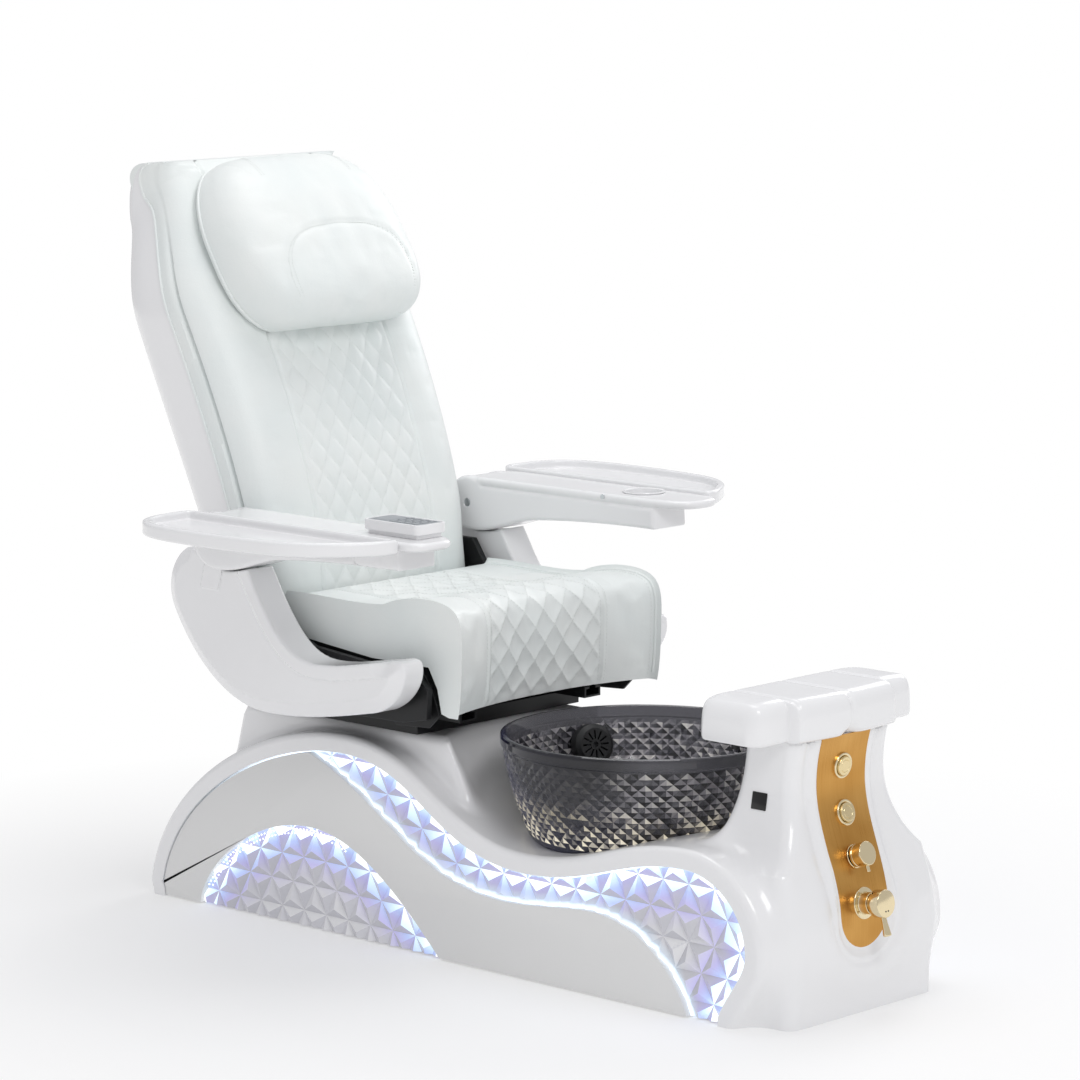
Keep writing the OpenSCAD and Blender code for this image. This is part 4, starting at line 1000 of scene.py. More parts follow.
def bezels():
    """The fixed rings round the buttons and the diverter, and the mixer's body."""
    rings = []
    for z in BUTTONS_Z:
        ring = [(19, -22), (19, 3), (23, 3)] + round_rim(23, 8.5, 2) + [(19.2, 8.5), (17.8, 7.4), (17.6, -18)]
        rings.append(placed(turned("bezel", ring), at_panel(z)))
    collar = [(6, -24), (21, 0.5)] + round_rim(21, 5, 1.5) + [(7, 5)]
    rings.append(placed(turned("ring", collar), at_panel(DIVERTER_Z)))
    flange = [(15, -24), (28, 0.5)] + round_rim(28, 5, 2)
    neck = [(20, 5.4), (19, 7), (19, 20)] + round_rim(19, 23, 1.5) + [(15.3, 23)]
    rings.append(placed(turned("mixer body", flange + neck), at_panel(MIXER_Z)))
    return join("control_bezels", rings)


def diverter():
    """A grooved round knob with a small tab at its rim."""
    body = [(6, -22), (6, 7), (19, 7), (20.4, 8.4), (20.4, 12), (19.6, 12.6), (19.6, 13.4), (20.6, 14)]
    knob = turned("knob", body + round_rim(21, 33, 1.4) + [(0.01, 33.2)])
    tab = turned("tab", [(3.6, 0), (3.6, 9)] + round_rim(3.6, 12, 1.2) + [(0.01, 12)], 32)
    placed(tab, Matrix.Translation((0, -0.0195, 0.024)) @ Matrix.Rotation(math.pi / 2, 4, "X"))
    return placed(join("diverter_cap", [knob, tab]), at_panel(DIVERTER_Z))


def mixer_handle():
    """The mixer's cap with its lever."""
    cap = [(19, 40), (19, 31), (22.6, 30), (24, 31.2)] + round_rim(24, 52, 1.6) + [(0.01, 52.3)]
    hub = turned("hub", cap)
    lever = turned("lever", [(5, 0), (5.4, 14), (7, 30)] + round_rim(7.4, 36, 2.4) + [(0.01, 36.2)], 40)
    placed(lever, Matrix.Translation((0, -0.021, 0.042)) @ Matrix.Rotation(math.radians(80), 4, "X"))
    return placed(join("mixer_lever", [hub, lever]), at_panel(MIXER_Z))


def mixer_dots():
    """Two dark dots on the mixer's cap."""
    dots = []
    for x in (-0.0032, 0.0032):
        dot = turned("dot", [(1.5, 51.5), (1.5, 52.45), (0.01, 52.5)], 20)
        dots.append(placed(dot, Matrix.Translation((x, -0.013, 0))))
    return placed(join("mixer_dots", dots), at_panel(MIXER_Z))


def build_panel():
    """The gold panel and the controls on it."""
    panel = gold_panel()
    shade(panel, 30)
    dress(panel, gold_sheet(), "base")
    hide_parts("control_panel")
    polished = plated("polished champagne gold", "#E9D9B4", 0.09)
    button_tops = plated("satin champagne gold", "#E6D3A6", 0.2)
    jobs = [(bezels(), "panel_bezels", "base", polished)]
    for name, z in zip(("upper_button", "lower_button"), BUTTONS_Z):
        face = [(17, -14)] + round_rim(17, 12, 1.6) + [(11.2, 12), (10.7, 11.5), (10.2, 12), (0.01, 12.3)]
        jobs.append((placed(turned(name + "_cap", face), at_panel(z)), name, name, button_tops))
    core = [(15, -22), (15, 26), (7, 27), (7, 43), (0.01, 44)]
    jobs += [
        (diverter(), "diverter_knob", "diverter", polished),
        (placed(turned("mixer_cartridge", core), at_panel(MIXER_Z)), "mixer_core", "mixer_core", polished),
        (mixer_handle(), "mixer_handle", "mixer_handle", polished),
    ]
    for thing, source, body, mat in jobs:
        shade(thing, 40)
        dress(thing, mat, body)
        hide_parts(source)
    dress(mixer_dots(), black_plastic(), "mixer_handle")


def gold_sheet():
    """Brushed amber-gold sheet: fine vertical lines and a slow change of tone."""
    made, tree, shader = material("brushed amber gold sheet", Metallic=1.0)
    if tree:
        place = node(tree, "ShaderNodeTexCoord").outputs["Object"]
        fine = node(tree, "ShaderNodeMapping", {"Vector": place}, Scale=(1500, 12, 8)).outputs[0]
        lines = noise(tree, 1.0, 4, 0.7, fine)
        cloud = noise(tree, 9, 2)
        tone = math_node(tree, "ADD", spread(tree, lines.outputs["Fac"], 0.2, 0.8, 0, 0.5),
                         spread(tree, cloud.outputs["Fac"], 0.3, 0.7, 0, 0.5))
        feed(tree, shader, Base_Color=ramp(tree, tone, [(0.2, tint("#BC8740")), (0.8, tint("#D9A75E"))]))
        feed(tree, shader, Roughness=spread(tree, lines.outputs["Fac"], 0.3, 0.7, 0.26, 0.4))
        feed(tree, shader, Normal=bump(tree, lines.outputs["Fac"], 0.12, 0.0002))
    return made


# ---- footrest pad and badge --------------------------------------------------------------------
def moulding(name, value, low, high, cell=3.5):
    """A piece meshed from a signed distance, shaded with the field's own normals."""
    field = Field(value)
    thing = new_mesh(name, *surface_net(field, low, high, cell * (1)))
    set_field_normals(thing, field)
    return thing


PAD_HALF = 216
BADGE = (-136.0, -690.0, 372.0)


def rounded_cap(a, start, end):
    """1 up to start, falling to 0 at end on a quarter circle."""
    return np.sqrt(np.clip(1 - np.clip((a - start) / (end - start), 0, 1) ** 2, 0, 1))


def pad_ring(x):
    """Section of the footrest pad at x: a middle block between two lobes that are set back."""
    a = abs(x)
    front = -784 + 8 * (a / 128) ** 2 if a < 128 else -753 + 26 * max(0, (a - 136) / 80) ** 7
    if 128 <= a < 136:
        front = lerp(-776, -753, float(smooth((a - 128) / 8)))
    rear = -604 - 26 * (a / PAD_HALF) ** 12
    groove = math.exp(-((x / 4.5) ** 2)) + math.exp(-(((a - 128) / 4.5) ** 2))
    end = float(rounded_cap(a, 198, PAD_HALF + 0.3))
    top = 480 + (75 - 8 * (a / PAD_HALF) ** 12) * (0.5 + 0.5 * end) - 5 * groove
    front += 2.5 * groove
    notch = 16 * float(smooth(1 - a / 34))
    low = 480 + 4 * (1 - end)
    k = min(1.0, (rear - front) / 70)
    rounded = bezier([(0, 0.15), (0, 0.78), (3, 1), (30, 1)], np.linspace(0, 1, 12))
    side = [(8, 0), (3, 0.03), (0.6, 0.09)] + [tuple(p) for p in rounded]
    ring = [(x, front + q * k + notch * max(0, 1 - h * 4), low + h * (top - low)) for q, h in side]
    ring += [(x, y, top + 0.6 * groove) for y in np.linspace(front + 30 * k, rear - 30 * k, 9)[1:-1]]
    return ring + [(x, rear - q * k, low + h * (top - low)) for q, h in side[::-1]]


def build_pad():
    """Footrest pad, and the blank badge on the column's side."""
    xs = np.r_[np.linspace(0, 196, 50), np.linspace(120, 140, 21), np.linspace(196, PAD_HALF, 14)]
    xs = sorted(set(xs.round(2)))
    pad = loft("footrest_pad_skin", [pad_ring(x) for x in [-x for x in xs[:0:-1]] + xs])
    shade(pad, 50)
    dress(pad, gloss_white(), "base")
    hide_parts("footrest_pad")
    plate = [(-16, -15), (16, -15), (16, 15), (-16, 15)]
    badge = loft("blank_badge", [[(y, z, h) for y, z in plate] for h in (-3.0, 2.2)])
    bevel(badge, 0.9, 3)
    shade(badge)
    field = BaseField()
    spot = drawn(field, np.array([BADGE]), 12)
    out = Vector(field.gradient(spot, 6.0)[0]).normalized()
    side = Vector((0, 0, 1)).cross(out).normalized()
    turn = Matrix((side, out.cross(side), out)).transposed().to_4x4()
    placed(badge, Matrix.Translation(spot[0] / 1000) @ turn)
    dress(badge, gloss_black(), "base")


def gloss_black():
    """Polished black acrylic."""
    return material("polished black acrylic", Base_Color=tint("#08080A"), Roughness=0.12, IOR=1.49)[0]


# ---- glass bowl --------------------------------------------------------------------------------
BOWL_STEPS, BOWL_ROWS, BOWL_INNER_ROWS, BOWL_WALL = 128, 15, 12, 11.5


def bowl_profile():
    """Radius, height and relief of the bowl's rings: up the outside, over the rim, down the inside."""
    outer = [lerp(BOWL_LOW, BOWL_HIGH, k / BOWL_ROWS) for k in range(BOWL_ROWS + 1)]
    inner = [lerp(BOWL_HIGH - 4, 272, k / BOWL_INNER_ROWS) for k in range(BOWL_INNER_ROWS + 1)]
    rim = [(252, 397), (256.5, 400), (257.6, 404), (257.8, 415), (256.6, 419.4), (254, 421), (249.5, 421),
           (247.4, 419.6), (246.6, 417)]
    floor = [(190, 256), (177, 247), (160, 239), (150, 237), (24, 237), (22.5, 236), (22.5, 226)]
    rings = [(188, 226, 0), (198, 230, 0)]
    rings += [(float(bowl_radius(z)), z, 2.3 if 0 < k < BOWL_ROWS else 0) for k, z in enumerate(outer)]
    rings += [(r, z, 0) for r, z in rim]
    turn = len(rings)
    for k, z in enumerate(inner):
        rings.append((float(bowl_radius(z)) - BOWL_WALL, z, -1.0 if 0 < k < BOWL_INNER_ROWS else 0))
    return rings + [(r, z, 0) for r, z in floor], turn


def bowl_faces(n, turn):
    """The bowl's faces, four to a diamond where it is cut, and the painted light and shade of each one."""
    faces, shades = [], []
    rng = np.random.default_rng(7)
    whole, part = rng.random((n + 1, BOWL_STEPS)), rng.random((n + 1, BOWL_STEPS, 2))
    for i in range(n):
        cut = 2 <= i < 2 + BOWL_ROWS or turn <= i < turn + BOWL_INNER_ROWS
        for j in range(BOWL_STEPS):
            a, b = i * BOWL_STEPS + j, i * BOWL_STEPS + (j + 1) % BOWL_STEPS
            d, c = (i + 1) % n * BOWL_STEPS + j, (i + 1) % n * BOWL_STEPS + (j + 1) % BOWL_STEPS
            if not cut:
                faces.append((a, b, c, d))
                shades.append(0.4)
                continue
            even = (i + j) % 2 == 0
            faces += [(a, b, c), (a, c, d)] if even else [(a, b, d), (b, c, d)]
            # row and column of the peak of each face's diamond, and which of its four faces this is
            peaks = [(i, j + 1, 1, 0), (i + 1, j, 0, 1)] if even else [(i, j, 1, 1), (i + 1, j + 1, 0, 0)]
            for side, (row, column, up, right) in enumerate(peaks):
                # painted light and shade: upper faces lighter, right-hand faces a little lighter, and each
                # diamond and face a random step lighter or darker as painted sparkle
                tone = 0.2 + 0.34 * up + 0.14 * right + 0.34 * (whole[row, column % BOWL_STEPS] - 0.5)
                shades.append(tone + 0.28 * (part[i, j, side] - 0.5))
    return faces, shades


def build_bowl(settings):
    """The cut-glass bowl with its drain, filler spout, jet and motor."""
    rings, turn = bowl_profile()
    points = []
    for i, (r, z, relief) in enumerate(rings):
        for j, angle in enumerate(np.linspace(0, 2 * math.pi, BOWL_STEPS, endpoint=False)):
            out = r + (relief if (i + j) % 2 else 0)
            points.append((out * math.cos(angle), out * math.sin(angle) + BOWL_Y, z))
    faces, shades = bowl_faces(len(rings), turn)
    bowl = new_mesh("faceted_bowl", points, faces)
    made = bowl.data.polygons
    size = read(made, "loop_total", kind=np.int32)
    height = read(made, "center", 3)[:, 2] * 1000
    row = np.clip((height - BOWL_LOW) / (BOWL_HIGH - BOWL_LOW), 0, 1)
    set_attribute(bowl, "spark", "CORNER", np.repeat(shades, size))
    set_attribute(bowl, "row", "CORNER", np.repeat(row, size))
    shade(bowl, 8)
    dress(bowl, smoked_glass(settings), "base")
    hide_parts("glass_bowl")
    steel = plated("brushed stainless steel", "#C9CACC", 0.24, 0.2)
    black, grey = black_plastic(), black_plastic("grey moulded plastic", "#5B5D60")
    for name, source, width, mat, body, slot in (
        ("drain_strainer", "bowl_drain", 0.5, steel, "base", "steel"),
        ("filler_spout", "bowl_filler", 0.8, black, "base", "black_plastic"),
        ("jet_box", "jet_housing", 1.2, black, "base", "black_plastic"),
        ("jet_grille", "jet_cover", 0.6, black, "base", "black_plastic"),
        ("jet_wheel", "jet_impeller", 0.4, grey, "impeller", "black_plastic"),
        ("pump_motor", "jet_motor", 0.8, black, "base", "black_plastic"),
    ):
        dress(dressed(name, source, width), mat, body)


def smoked_glass(settings):
    """Smoke-tinted cut glass, with light from below painted on it as a cream glow on the brightest facets of
    the lower rows, and a painted blue-violet reflection on the left.
    """
    made, tree, shader = material("smoked cut glass", Roughness=0.04, IOR=1.5, Transmission_Weight=0.55)
    if tree:
        spark, row = attribute(tree, "spark"), attribute(tree, "row")
        # the smoke tint of the glass, made near black to cream per facet by the painted light and shade
        smoke_and_painted_light = ramp(tree, spark, [
            (0.05, tint("#0E0E11")), (0.28, tint("#36363C")), (0.48, tint("#77767D")),
            (0.66, tint("#C2BEC3")), (0.82, tint("#FBF7F0")),
        ])
        centre = node(tree, "ShaderNodeTexCoord").outputs["Object"]
        x, y = node(tree, "ShaderNodeSeparateXYZ", {"Vector": centre}).outputs[:2]
        # a painted blue-violet reflection on the sitter's right, and a painted dark reflection along the edge
        # beyond it
        blue = math_node(tree, "MULTIPLY", spread(tree, y, -0.44, -0.28, 0, 1),
                         spread(tree, x, -0.12, -0.2, 0, 1))
        tinted = mixed(tree, spread(tree, blue, 0, 1, 0, 0.6), smoke_and_painted_light, tint("#33366E"))
        with_painted_dark_edge = mixed(tree, spread(tree, x, -0.19, -0.235, 0, 0.85), tinted, tint("#101014"))
        feed(tree, shader, Base_Color=with_painted_dark_edge)
        # painted highlights: the brightest facets glow, cream in the lower rows and fading out by the middle
        painted_glow_colour = ramp(tree, row, [(0.0, tint("#FFF6DC")), (0.4, tint("#F6E9C4")), (1.0, tint("#CFC8FF"))])
        feed(tree, shader, Emission_Color=painted_glow_colour)
        drop = spread(tree, row, 0.0, 0.6, settings.bowl_power, 0.0)
        power = math_node(tree, "MULTIPLY", spread(tree, spark, 0.55, 0.8, 0, 1), drop)
        feed(tree, shader, Emission_Strength=power)
    return made


# ---- leather -----------------------------------------------------------------------------------
def leather(settings):
    """White upholstery leather: fine pebbled grain with pores, soft creases and a low sheen."""
    made, tree, shader = material("white pebbled upholstery leather", Base_Color=tint("#E6EBEA"), IOR=1.45,
                                  Coat_Weight=0.15, Coat_Roughness=0.35)
    if tree:
        place = node(tree, "ShaderNodeTexCoord").outputs["Object"]
        cells = node(tree, "ShaderNodeTexVoronoi", {"Vector": place}, Scale=620, feature="SMOOTH_F1")
        crease = noise(tree, 14, 5, 0.6)
        cloud = noise(tree, 5, 3).outputs["Fac"]
        fine = bump(tree, cells.outputs["Distance"], 0.22, 0.0005)
        creased = bump(tree, crease.outputs["Fac"], settings.crease, 0.004, fine)
        tone = ramp(tree, cloud, [(0.3, tint("#E2E8E7")), (0.7, tint("#EAEDEB"))])
        feed(tree, shader, Normal=creased)
        feed(tree, shader, Roughness=spread(tree, cloud, 0.3, 0.7, 0.38, 0.5))
        feed(tree, shader, Base_Color=tone)
    return made


def thread():
    """Bonded upholstery thread."""
    return material("white upholstery thread", Base_Color=tint("#D5D9D6"), Roughness=0.7, Sheen_Weight=0.3)[0]


def quilt(across, along, wide, tall, high):
    """Height of a diamond quilt over (across, along), both in mm."""
    a, b = across / wide + along / tall, across / wide - along / tall
    return high * np.abs(np.sin(math.pi * a) * np.sin(math.pi * b)) ** 0.42


SEAT_HALF, SEAT_SEAM, SEAT_QUILT = 265, 152, (50, 60)


def seat_front(x):
    """Where the front of the seat lies: it stands forward at the sides."""
    return -100 + 42 * (1 - (abs(x) / SEAT_HALF) ** 2.4)


def seat_line(x):
    """Side view of the seat cushion's outer skin at x, from the rear of the top to the foot of the apron."""
    front = seat_front(x)
    top, roll = 624.0, 651.0
    return chain([
        [[334, top], [240, top + 4], [150, top - 6], [80, top + 4]],
        [[80, top + 4], [30, roll], [front + 40, roll + 4], [front + 14, roll - 16]],
        [[front + 14, roll - 16], [front - 4, roll - 32], [front, 590], [front + 1, 540]],
        [[front + 1, 540], [front + 2, 500], [front + 6, 470], [front + 10, 455]],
    ], 2.5)


def seat_ring(x, n=230, quilted=1.0):
    """A closed section of the seat cushion: quilted top and apron, then the hidden underside."""
    line, along = resampled(seat_line(x), n)
    a = abs(x)
    edge = 11 * (1 - math.sqrt(max(0.0, 1 - min(1, max(0, (a / SEAT_HALF - 0.94) / 0.06)) ** 2)))
    groove = 4.5 * math.exp(-(((a - SEAT_SEAM) / 4) ** 2)) * quilted
    ends = smooth(along / 30) * smooth((along[-1] - along) / 22)
    puff = (quilt(x, along - 470, *SEAT_QUILT, 5.0) - 4.0) * float(smooth((149 - a) / 12)) * quilted
    top = inset(line, ((puff - groove) * ends - edge)[:, None])
    front = seat_front(x)
    under = [(front + 22, 452), (front + 40, 457), (front + 50, 500), (front + 72, 537), (115, 537),
             (200, 545), (306, 555), (342, 576), (348, 594), (346, 614)]
    ring = np.vstack([top, np.array(under, float)])
    return np.column_stack([np.full(len(ring), x), ring])


def cap_rings(ring):
    """Rings that close a side of the seat cushion with a flat panel."""
    spine = spaced(np.array([(300, 590), (120, 585), (-20, 575), (-48, 540), (-55, 500)], float), 5)
    near = spine[np.argmin(((ring[:, None, 1:] - spine[None]) ** 2).sum(2), axis=1)]
    rings = []
    for share in (0.12, 0.35, 0.65, 0.9):
        rings.append(np.column_stack([ring[:, 0], lerp(ring[:, 1:], near, share)]))
    return rings


def keyed(points):
    """Points as keys that survive a mesh's rounding."""
    return [tuple(p) for p in np.round(points, 3)]


def add_cloth(body, pressure):
    """Firm upholstery leather that is blown up a little from inside."""
    cloth = body.modifiers.new("cloth", "CLOTH")
    leather_cloth = cloth.settings
    leather_cloth.quality = 6
    leather_cloth.mass = 0.4
    leather_cloth.tension_stiffness = leather_cloth.compression_stiffness = 18
    leather_cloth.shear_stiffness = 8
    leather_cloth.bending_stiffness = 12
    leather_cloth.shrink_min = -0.004
    leather_cloth.use_pressure = True
    leather_cloth.uniform_pressure_force = pressure
    leather_cloth.effector_weights.gravity = 0
    leather_cloth.vertex_group_mass = "held"
    cloth.collision_settings.use_collision = False


def plumped(rings, held, cap, pressure=3.0):
    """Cloth under pressure over a coarse closed skin; returns how far each point moved, in mm."""
    scene = bpy.context.scene
    body = loft("cloth", rings)
    start = read(body.data.vertices, "co", 3) * 1000
    flat = rings.reshape(-1, 3)
    grip = body.vertex_groups.new(name="held")
    weights = dict(zip(keyed(flat), held.ravel()))
    for i, key in enumerate(keyed(start)):
        grip.add([i], float(weights.get(key, 1.0)), "REPLACE")
    add_cloth(body, pressure)
    for frame_number in range(1, 21):
        scene.frame_set(frame_number)
    moved = body.evaluated_get(bpy.context.evaluated_depsgraph_get()).data
    move = read(moved.vertices, "co", 3) * 1000 - start
    scene.frame_set(1)
    size = np.linalg.norm(move, axis=1)
    move *= np.minimum(1, cap / np.maximum(size, 1e-6))[:, None]
    found = dict(zip(keyed(start), move))
    bpy.data.objects.remove(body)
    return np.array([found.get(key, np.zeros(3)) for key in keyed(flat)]).reshape(rings.shape)


def spread_out(coarse, us, vs, new_us, new_vs):
    """A coarse grid of vectors read at finer places."""
    rows = [[np.interp(new_us, us, coarse[:, j, c]) for c in range(3)] for j in range(coarse.shape[1])]
    rows = np.array(rows)
    fine = [[np.interp(new_vs, vs, rows[:, c, i]) for c in range(3)] for i in range(len(new_us))]
    return np.array(fine).transpose(0, 2, 1)


class Skin:
    """A fine grid of surface points that lines can be laid on: xs across, along up or down it."""

    def __init__(self, xs, along, points, out=1):
        self.xs, self.along, self.points, self.out = np.asarray(xs), np.asarray(along), points, out

    def at(self, x, a, lift=0.3):
        """Places a little above the skin."""
        u = np.clip(np.interp(x, self.xs, np.arange(len(self.xs))), 0, len(self.xs) - 1.001)
        v = np.clip(np.interp(a, self.along, np.arange(len(self.along))), 0, len(self.along) - 1.001)
        i, j = u.astype(int), v.astype(int)
        u, v, p = (u - i)[:, None], (v - j)[:, None], self.points
        place = lerp(lerp(p[i, j], p[i + 1, j], u), lerp(p[i, j + 1], p[i + 1, j + 1], u), v)
        normal = unit(np.cross(p[i + 1, j] - p[i, j], p[i, j + 1] - p[i, j]))
        return place + lift * normal * self.out


def quilt_lines(skin, wide, tall, phase, half, low, high):
    """The seams of a diamond quilt as lines on a skin."""
    lines = []
    for sign in (1, -1):
        for k in range(-60, 61):
            a = np.arange(low, high, 3.0)
            x = sign * wide * (k - (a + phase) / tall)
            keep = np.abs(x) < half
            if keep.sum() > 4:
                lines.append(skin.at(x[keep], a[keep]))
    return lines


def beads(name, lines, pitch, size, mat, body):
    """Small rounded pieces along lines, placed by Geometry Nodes: stitches or light dots."""
    tree = bpy.data.node_groups.get("beads along lines") or bead_tree()
    points, edges = [], []
    for line in lines:
        start = len(points)
        points += (np.asarray(line) / 1000).tolist()
        edges += [(i, i + 1) for i in range(start, len(points) - 1)]
    mesh = bpy.data.meshes.new(name)
    mesh.from_pydata(points, edges, [])
    thing = linked(name, mesh)
    maker = thing.modifiers.new("beads", "NODES")
    maker.node_group = tree
    sockets = [i for i in tree.interface.items_tree if i.item_type == "SOCKET" and i.in_out == "INPUT"]
    keys = {i.name: i.identifier for i in sockets}
    maker[keys["Pitch"]] = pitch / 1000
    maker[keys["Size"]] = [v / 1000 for v in size]
    maker[keys["Material"]] = mat
    applied(thing)
    shade(thing, 0)
    return dress(thing, mat, body)


def bead_tree():
    """Points at an even pitch along each line, with a rounded bead turned along it on every one."""
    tree = bpy.data.node_groups.new("beads along lines", "GeometryNodeTree")
    face = tree.interface
    face.new_socket("Geometry", in_out="INPUT", socket_type="NodeSocketGeometry")
    face.new_socket("Pitch", in_out="INPUT", socket_type="NodeSocketFloat").default_value = 0.007
    size = face.new_socket("Size", in_out="INPUT", socket_type="NodeSocketVector")
    size.default_value = (0.0004, 0.0004, 0.0024)
    face.new_socket("Material", in_out="INPUT", socket_type="NodeSocketMaterial")
    face.new_socket("Geometry", in_out="OUTPUT", socket_type="NodeSocketGeometry")
    given = node(tree, "NodeGroupInput").outputs
    curve = node(tree, "GeometryNodeMeshToCurve", {"Mesh": given["Geometry"]}).outputs[0]
    pitched = {"Curve": curve, "Length": given["Pitch"]}
    points = node(tree, "GeometryNodeCurveToPoints", pitched, mode="LENGTH").outputs
    ball = node(tree, "GeometryNodeMeshIcoSphere", Radius=1.0, Subdivisions=1).outputs["Mesh"]
    put = {"Points": points["Points"], "Instance": ball, "Rotation": points["Rotation"], "Scale": given["Size"]}
    beads_on = node(tree, "GeometryNodeInstanceOnPoints", put).outputs[0]
    real = node(tree, "GeometryNodeRealizeInstances", {"Geometry": beads_on}).outputs[0]
    paint = node(tree, "GeometryNodeSetMaterial", {"Geometry": real, "Material": given["Material"]})
    node(tree, "NodeGroupOutput", {"Geometry": paint.outputs[0]})
    return tree


STITCH = (0.35, 0.35, 2.3)


def piped(name, paths, radius, settings, body, closed=False):
    """Leather piping along one or more lines."""
    cords = [tube("piping", path, radius, 10, closed) for path in paths]
    piping = join(name, cords)
    shade(piping, 60)
    return dress(piping, leather(settings), body)


def cushion(name, rings, source, body, settings):
    """A padded leather piece through its rings, in place of a CAD node."""
    thing = loft(name, rings)
    shade(thing, 60)
    dress(thing, leather(settings), body)
    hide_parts(source)


def seat_move():
    """How the seat's coarse skin moves as cloth, by its columns and stations."""
    coarse = np.linspace(-SEAT_HALF, SEAT_HALF, 49)
    loose = np.array([seat_ring(float(x), 90, 0.0) for x in coarse])
    held = np.zeros(loose.shape[:2])
    held[:, 86:] = 1
    held[:, :2] = 1
    held[:2] = held[-2:] = 1
    seam = int(np.argmin(np.abs(np.abs(coarse) - SEAT_SEAM)))
    held[[seam, len(coarse) - 1 - seam]] = 0.6
    return coarse, plumped(loose, held, 6.0)[:, :90]


def build_seat(settings):
    """Seat cushion with its quilting, seams, piping and stitches."""
    coarse, move = seat_move()
    step, n = ((2.8, 230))
    flank = np.linspace(249, SEAT_HALF, 9)
    xs = np.r_[-flank[:0:-1], np.linspace(-249, 249, int(498 / step)), flank[1:]]
    rings = np.array([seat_ring(float(x), n) for x in xs])
    rings[:, :n] += spread_out(move, coarse, np.linspace(0, 1, 90), xs, np.linspace(0, 1, n))
    along = resampled(seat_line(0.0), n)[1]
    skin = Skin(xs, along, rings[:, :n].copy(), out=-1)
    closed = cap_rings(rings[0])[::-1] + list(rings) + cap_rings(rings[-1])
    cushion("seat_cushion_leather", closed, "seat_cushion", "seat", settings)
    paths = []
    for side in (RIGHT, LEFT):
        path = inset(seat_line(side * 259), -2.0)[6:-2:4]
        paths.append([(side * 260.5, y, z) for y, z in path])
    piped("seat_piping", paths, 3.0, settings, "seat")
    every = np.arange(14, along[-1] - 6, 8.0)
    seams = [skin.at(np.full(len(every), x), every) for x in (-253, -159, -145, 145, 159, 253)]
    seams += quilt_lines(skin, *SEAT_QUILT, -470, 140, 30, along[-1] - 20)
    beads("seat_stitches", seams, 7.0, STITCH, thread(), "seat")


# ---- back and pillow ---------------------------------------------------------------------------
BACK_QUILT, BACK_SIDE = (46, 70), 276
FRONT = ([(356, 592), (348, 830), (520, 1155), (676, 1380)], [(676, 1380), (694, 1398)])
REAR = (
    [(548, 562), (650, 790), (845, 1136), (845, 1262)],
    [(845, 1262), (845, 1353), (800, 1395), (742, 1395)],
)


def back_lines(s):
    """Front and rear places of the back at the station s."""
    if s <= 0.86:
        return bezier(FRONT[0], [s / 0.86])[0], bezier(REAR[0], [s / 0.86])[0]
    t = (s - 0.86) / 0.14
    a, b = np.array(FRONT[1], float)
    return lerp(a, b, t), bezier(REAR[1], [t])[0]


def back_width(z):
    """Half the width of the back at a height."""
    if z < 760:
        return lerp(266, BACK_SIDE, float(smooth((z - 660) / 100)))
    if z < 1140:
        return lerp(BACK_SIDE, 284, (z - 760) / 380)
    return lerp(284, 226, float(smooth((z - 1140) / 258)))


def back_at(s, x, d):
    """A place on the back: station s, x across, and a share d of the depth behind the front."""
    f, r = back_lines(s)
    return x, *lerp(f, r, d)


def back_height(n=400):
    """Stations of the back, and the height along its front at each."""
    s = np.linspace(0, 1, n)
    return s, run_length(np.array([back_lines(v)[0] for v in s]))


def seam_share(s):
    """How far back the seam between leather and shell lies."""
    return 0.38 + 0.35 * float(smooth((s - 0.8) / 0.2))


def back_ring(s, along, xs, quilted=1.0):
    """One section of the back cushion: quilted front, rounded edges, and a groove down the side."""
    f, r = back_lines(s)
    h = back_width(f[1])
    depth = np.linalg.norm(r - f)
    dent = 16 * (1 - float(smooth((s - 0.55) / 0.25)))
    seam = seam_share(s)
    side = [
        (h - 2.5, seam), (h - 0.8, 0.34), (h - 0.6, 0.30), (h - 1.0, 0.272), (h - 2.2 - 0.45 * dent, 0.256),
        (h - 3 - dent, 0.243), (h - 3 - 0.5 * dent, 0.23), (h - 2.6 - 0.1 * dent, 0.218),
    ]
    side = [(x, d + (seam - 0.38) * (0.9 - 0.11 * i)) for i, (x, d) in enumerate(side)]
    low = float(smooth(along / 40)) * float(smooth((1090 - along) / 60))
    front = []
    for u in xs:
        x = u * h
        d = 0.3 * (1 - math.sqrt(max(0.0, 1 - abs(u) ** 7)))
        q = quilt(x, along, *BACK_QUILT, 4.6) - 3.8
        fade = float(smooth((146 - abs(x)) / 12)) * float(smooth((700 - along) / 30)) * low
        groove = 4.5 * math.exp(-(((abs(x) - 150) / 4) ** 2))
        front.append((x, d - quilted * (q * fade - groove) / depth))
    return [back_at(s, x, d) for x, d in side + front + [(-x, d) for x, d in side[::-1]]]


def back_move(shares, heights):
    """How the back's coarse skin moves as cloth, by its stations and columns."""
    stations, across = np.linspace(0, 0.985, 60), np.linspace(0.985, -0.985, 41)
    loose = np.array([back_ring(s, float(np.interp(s, shares, heights)), across, 0.0) for s in stations])
    held = np.ones(loose.shape[:2])
    held[3:-2, 11:-11] = 0
    for seam in (150, -150):
        held[3:-2, 8 + int(np.argmin(np.abs(across * BACK_SIDE - seam)))] = 0.5
    return stations, across, plumped(loose, held, 7.0)[:, 8:-8]


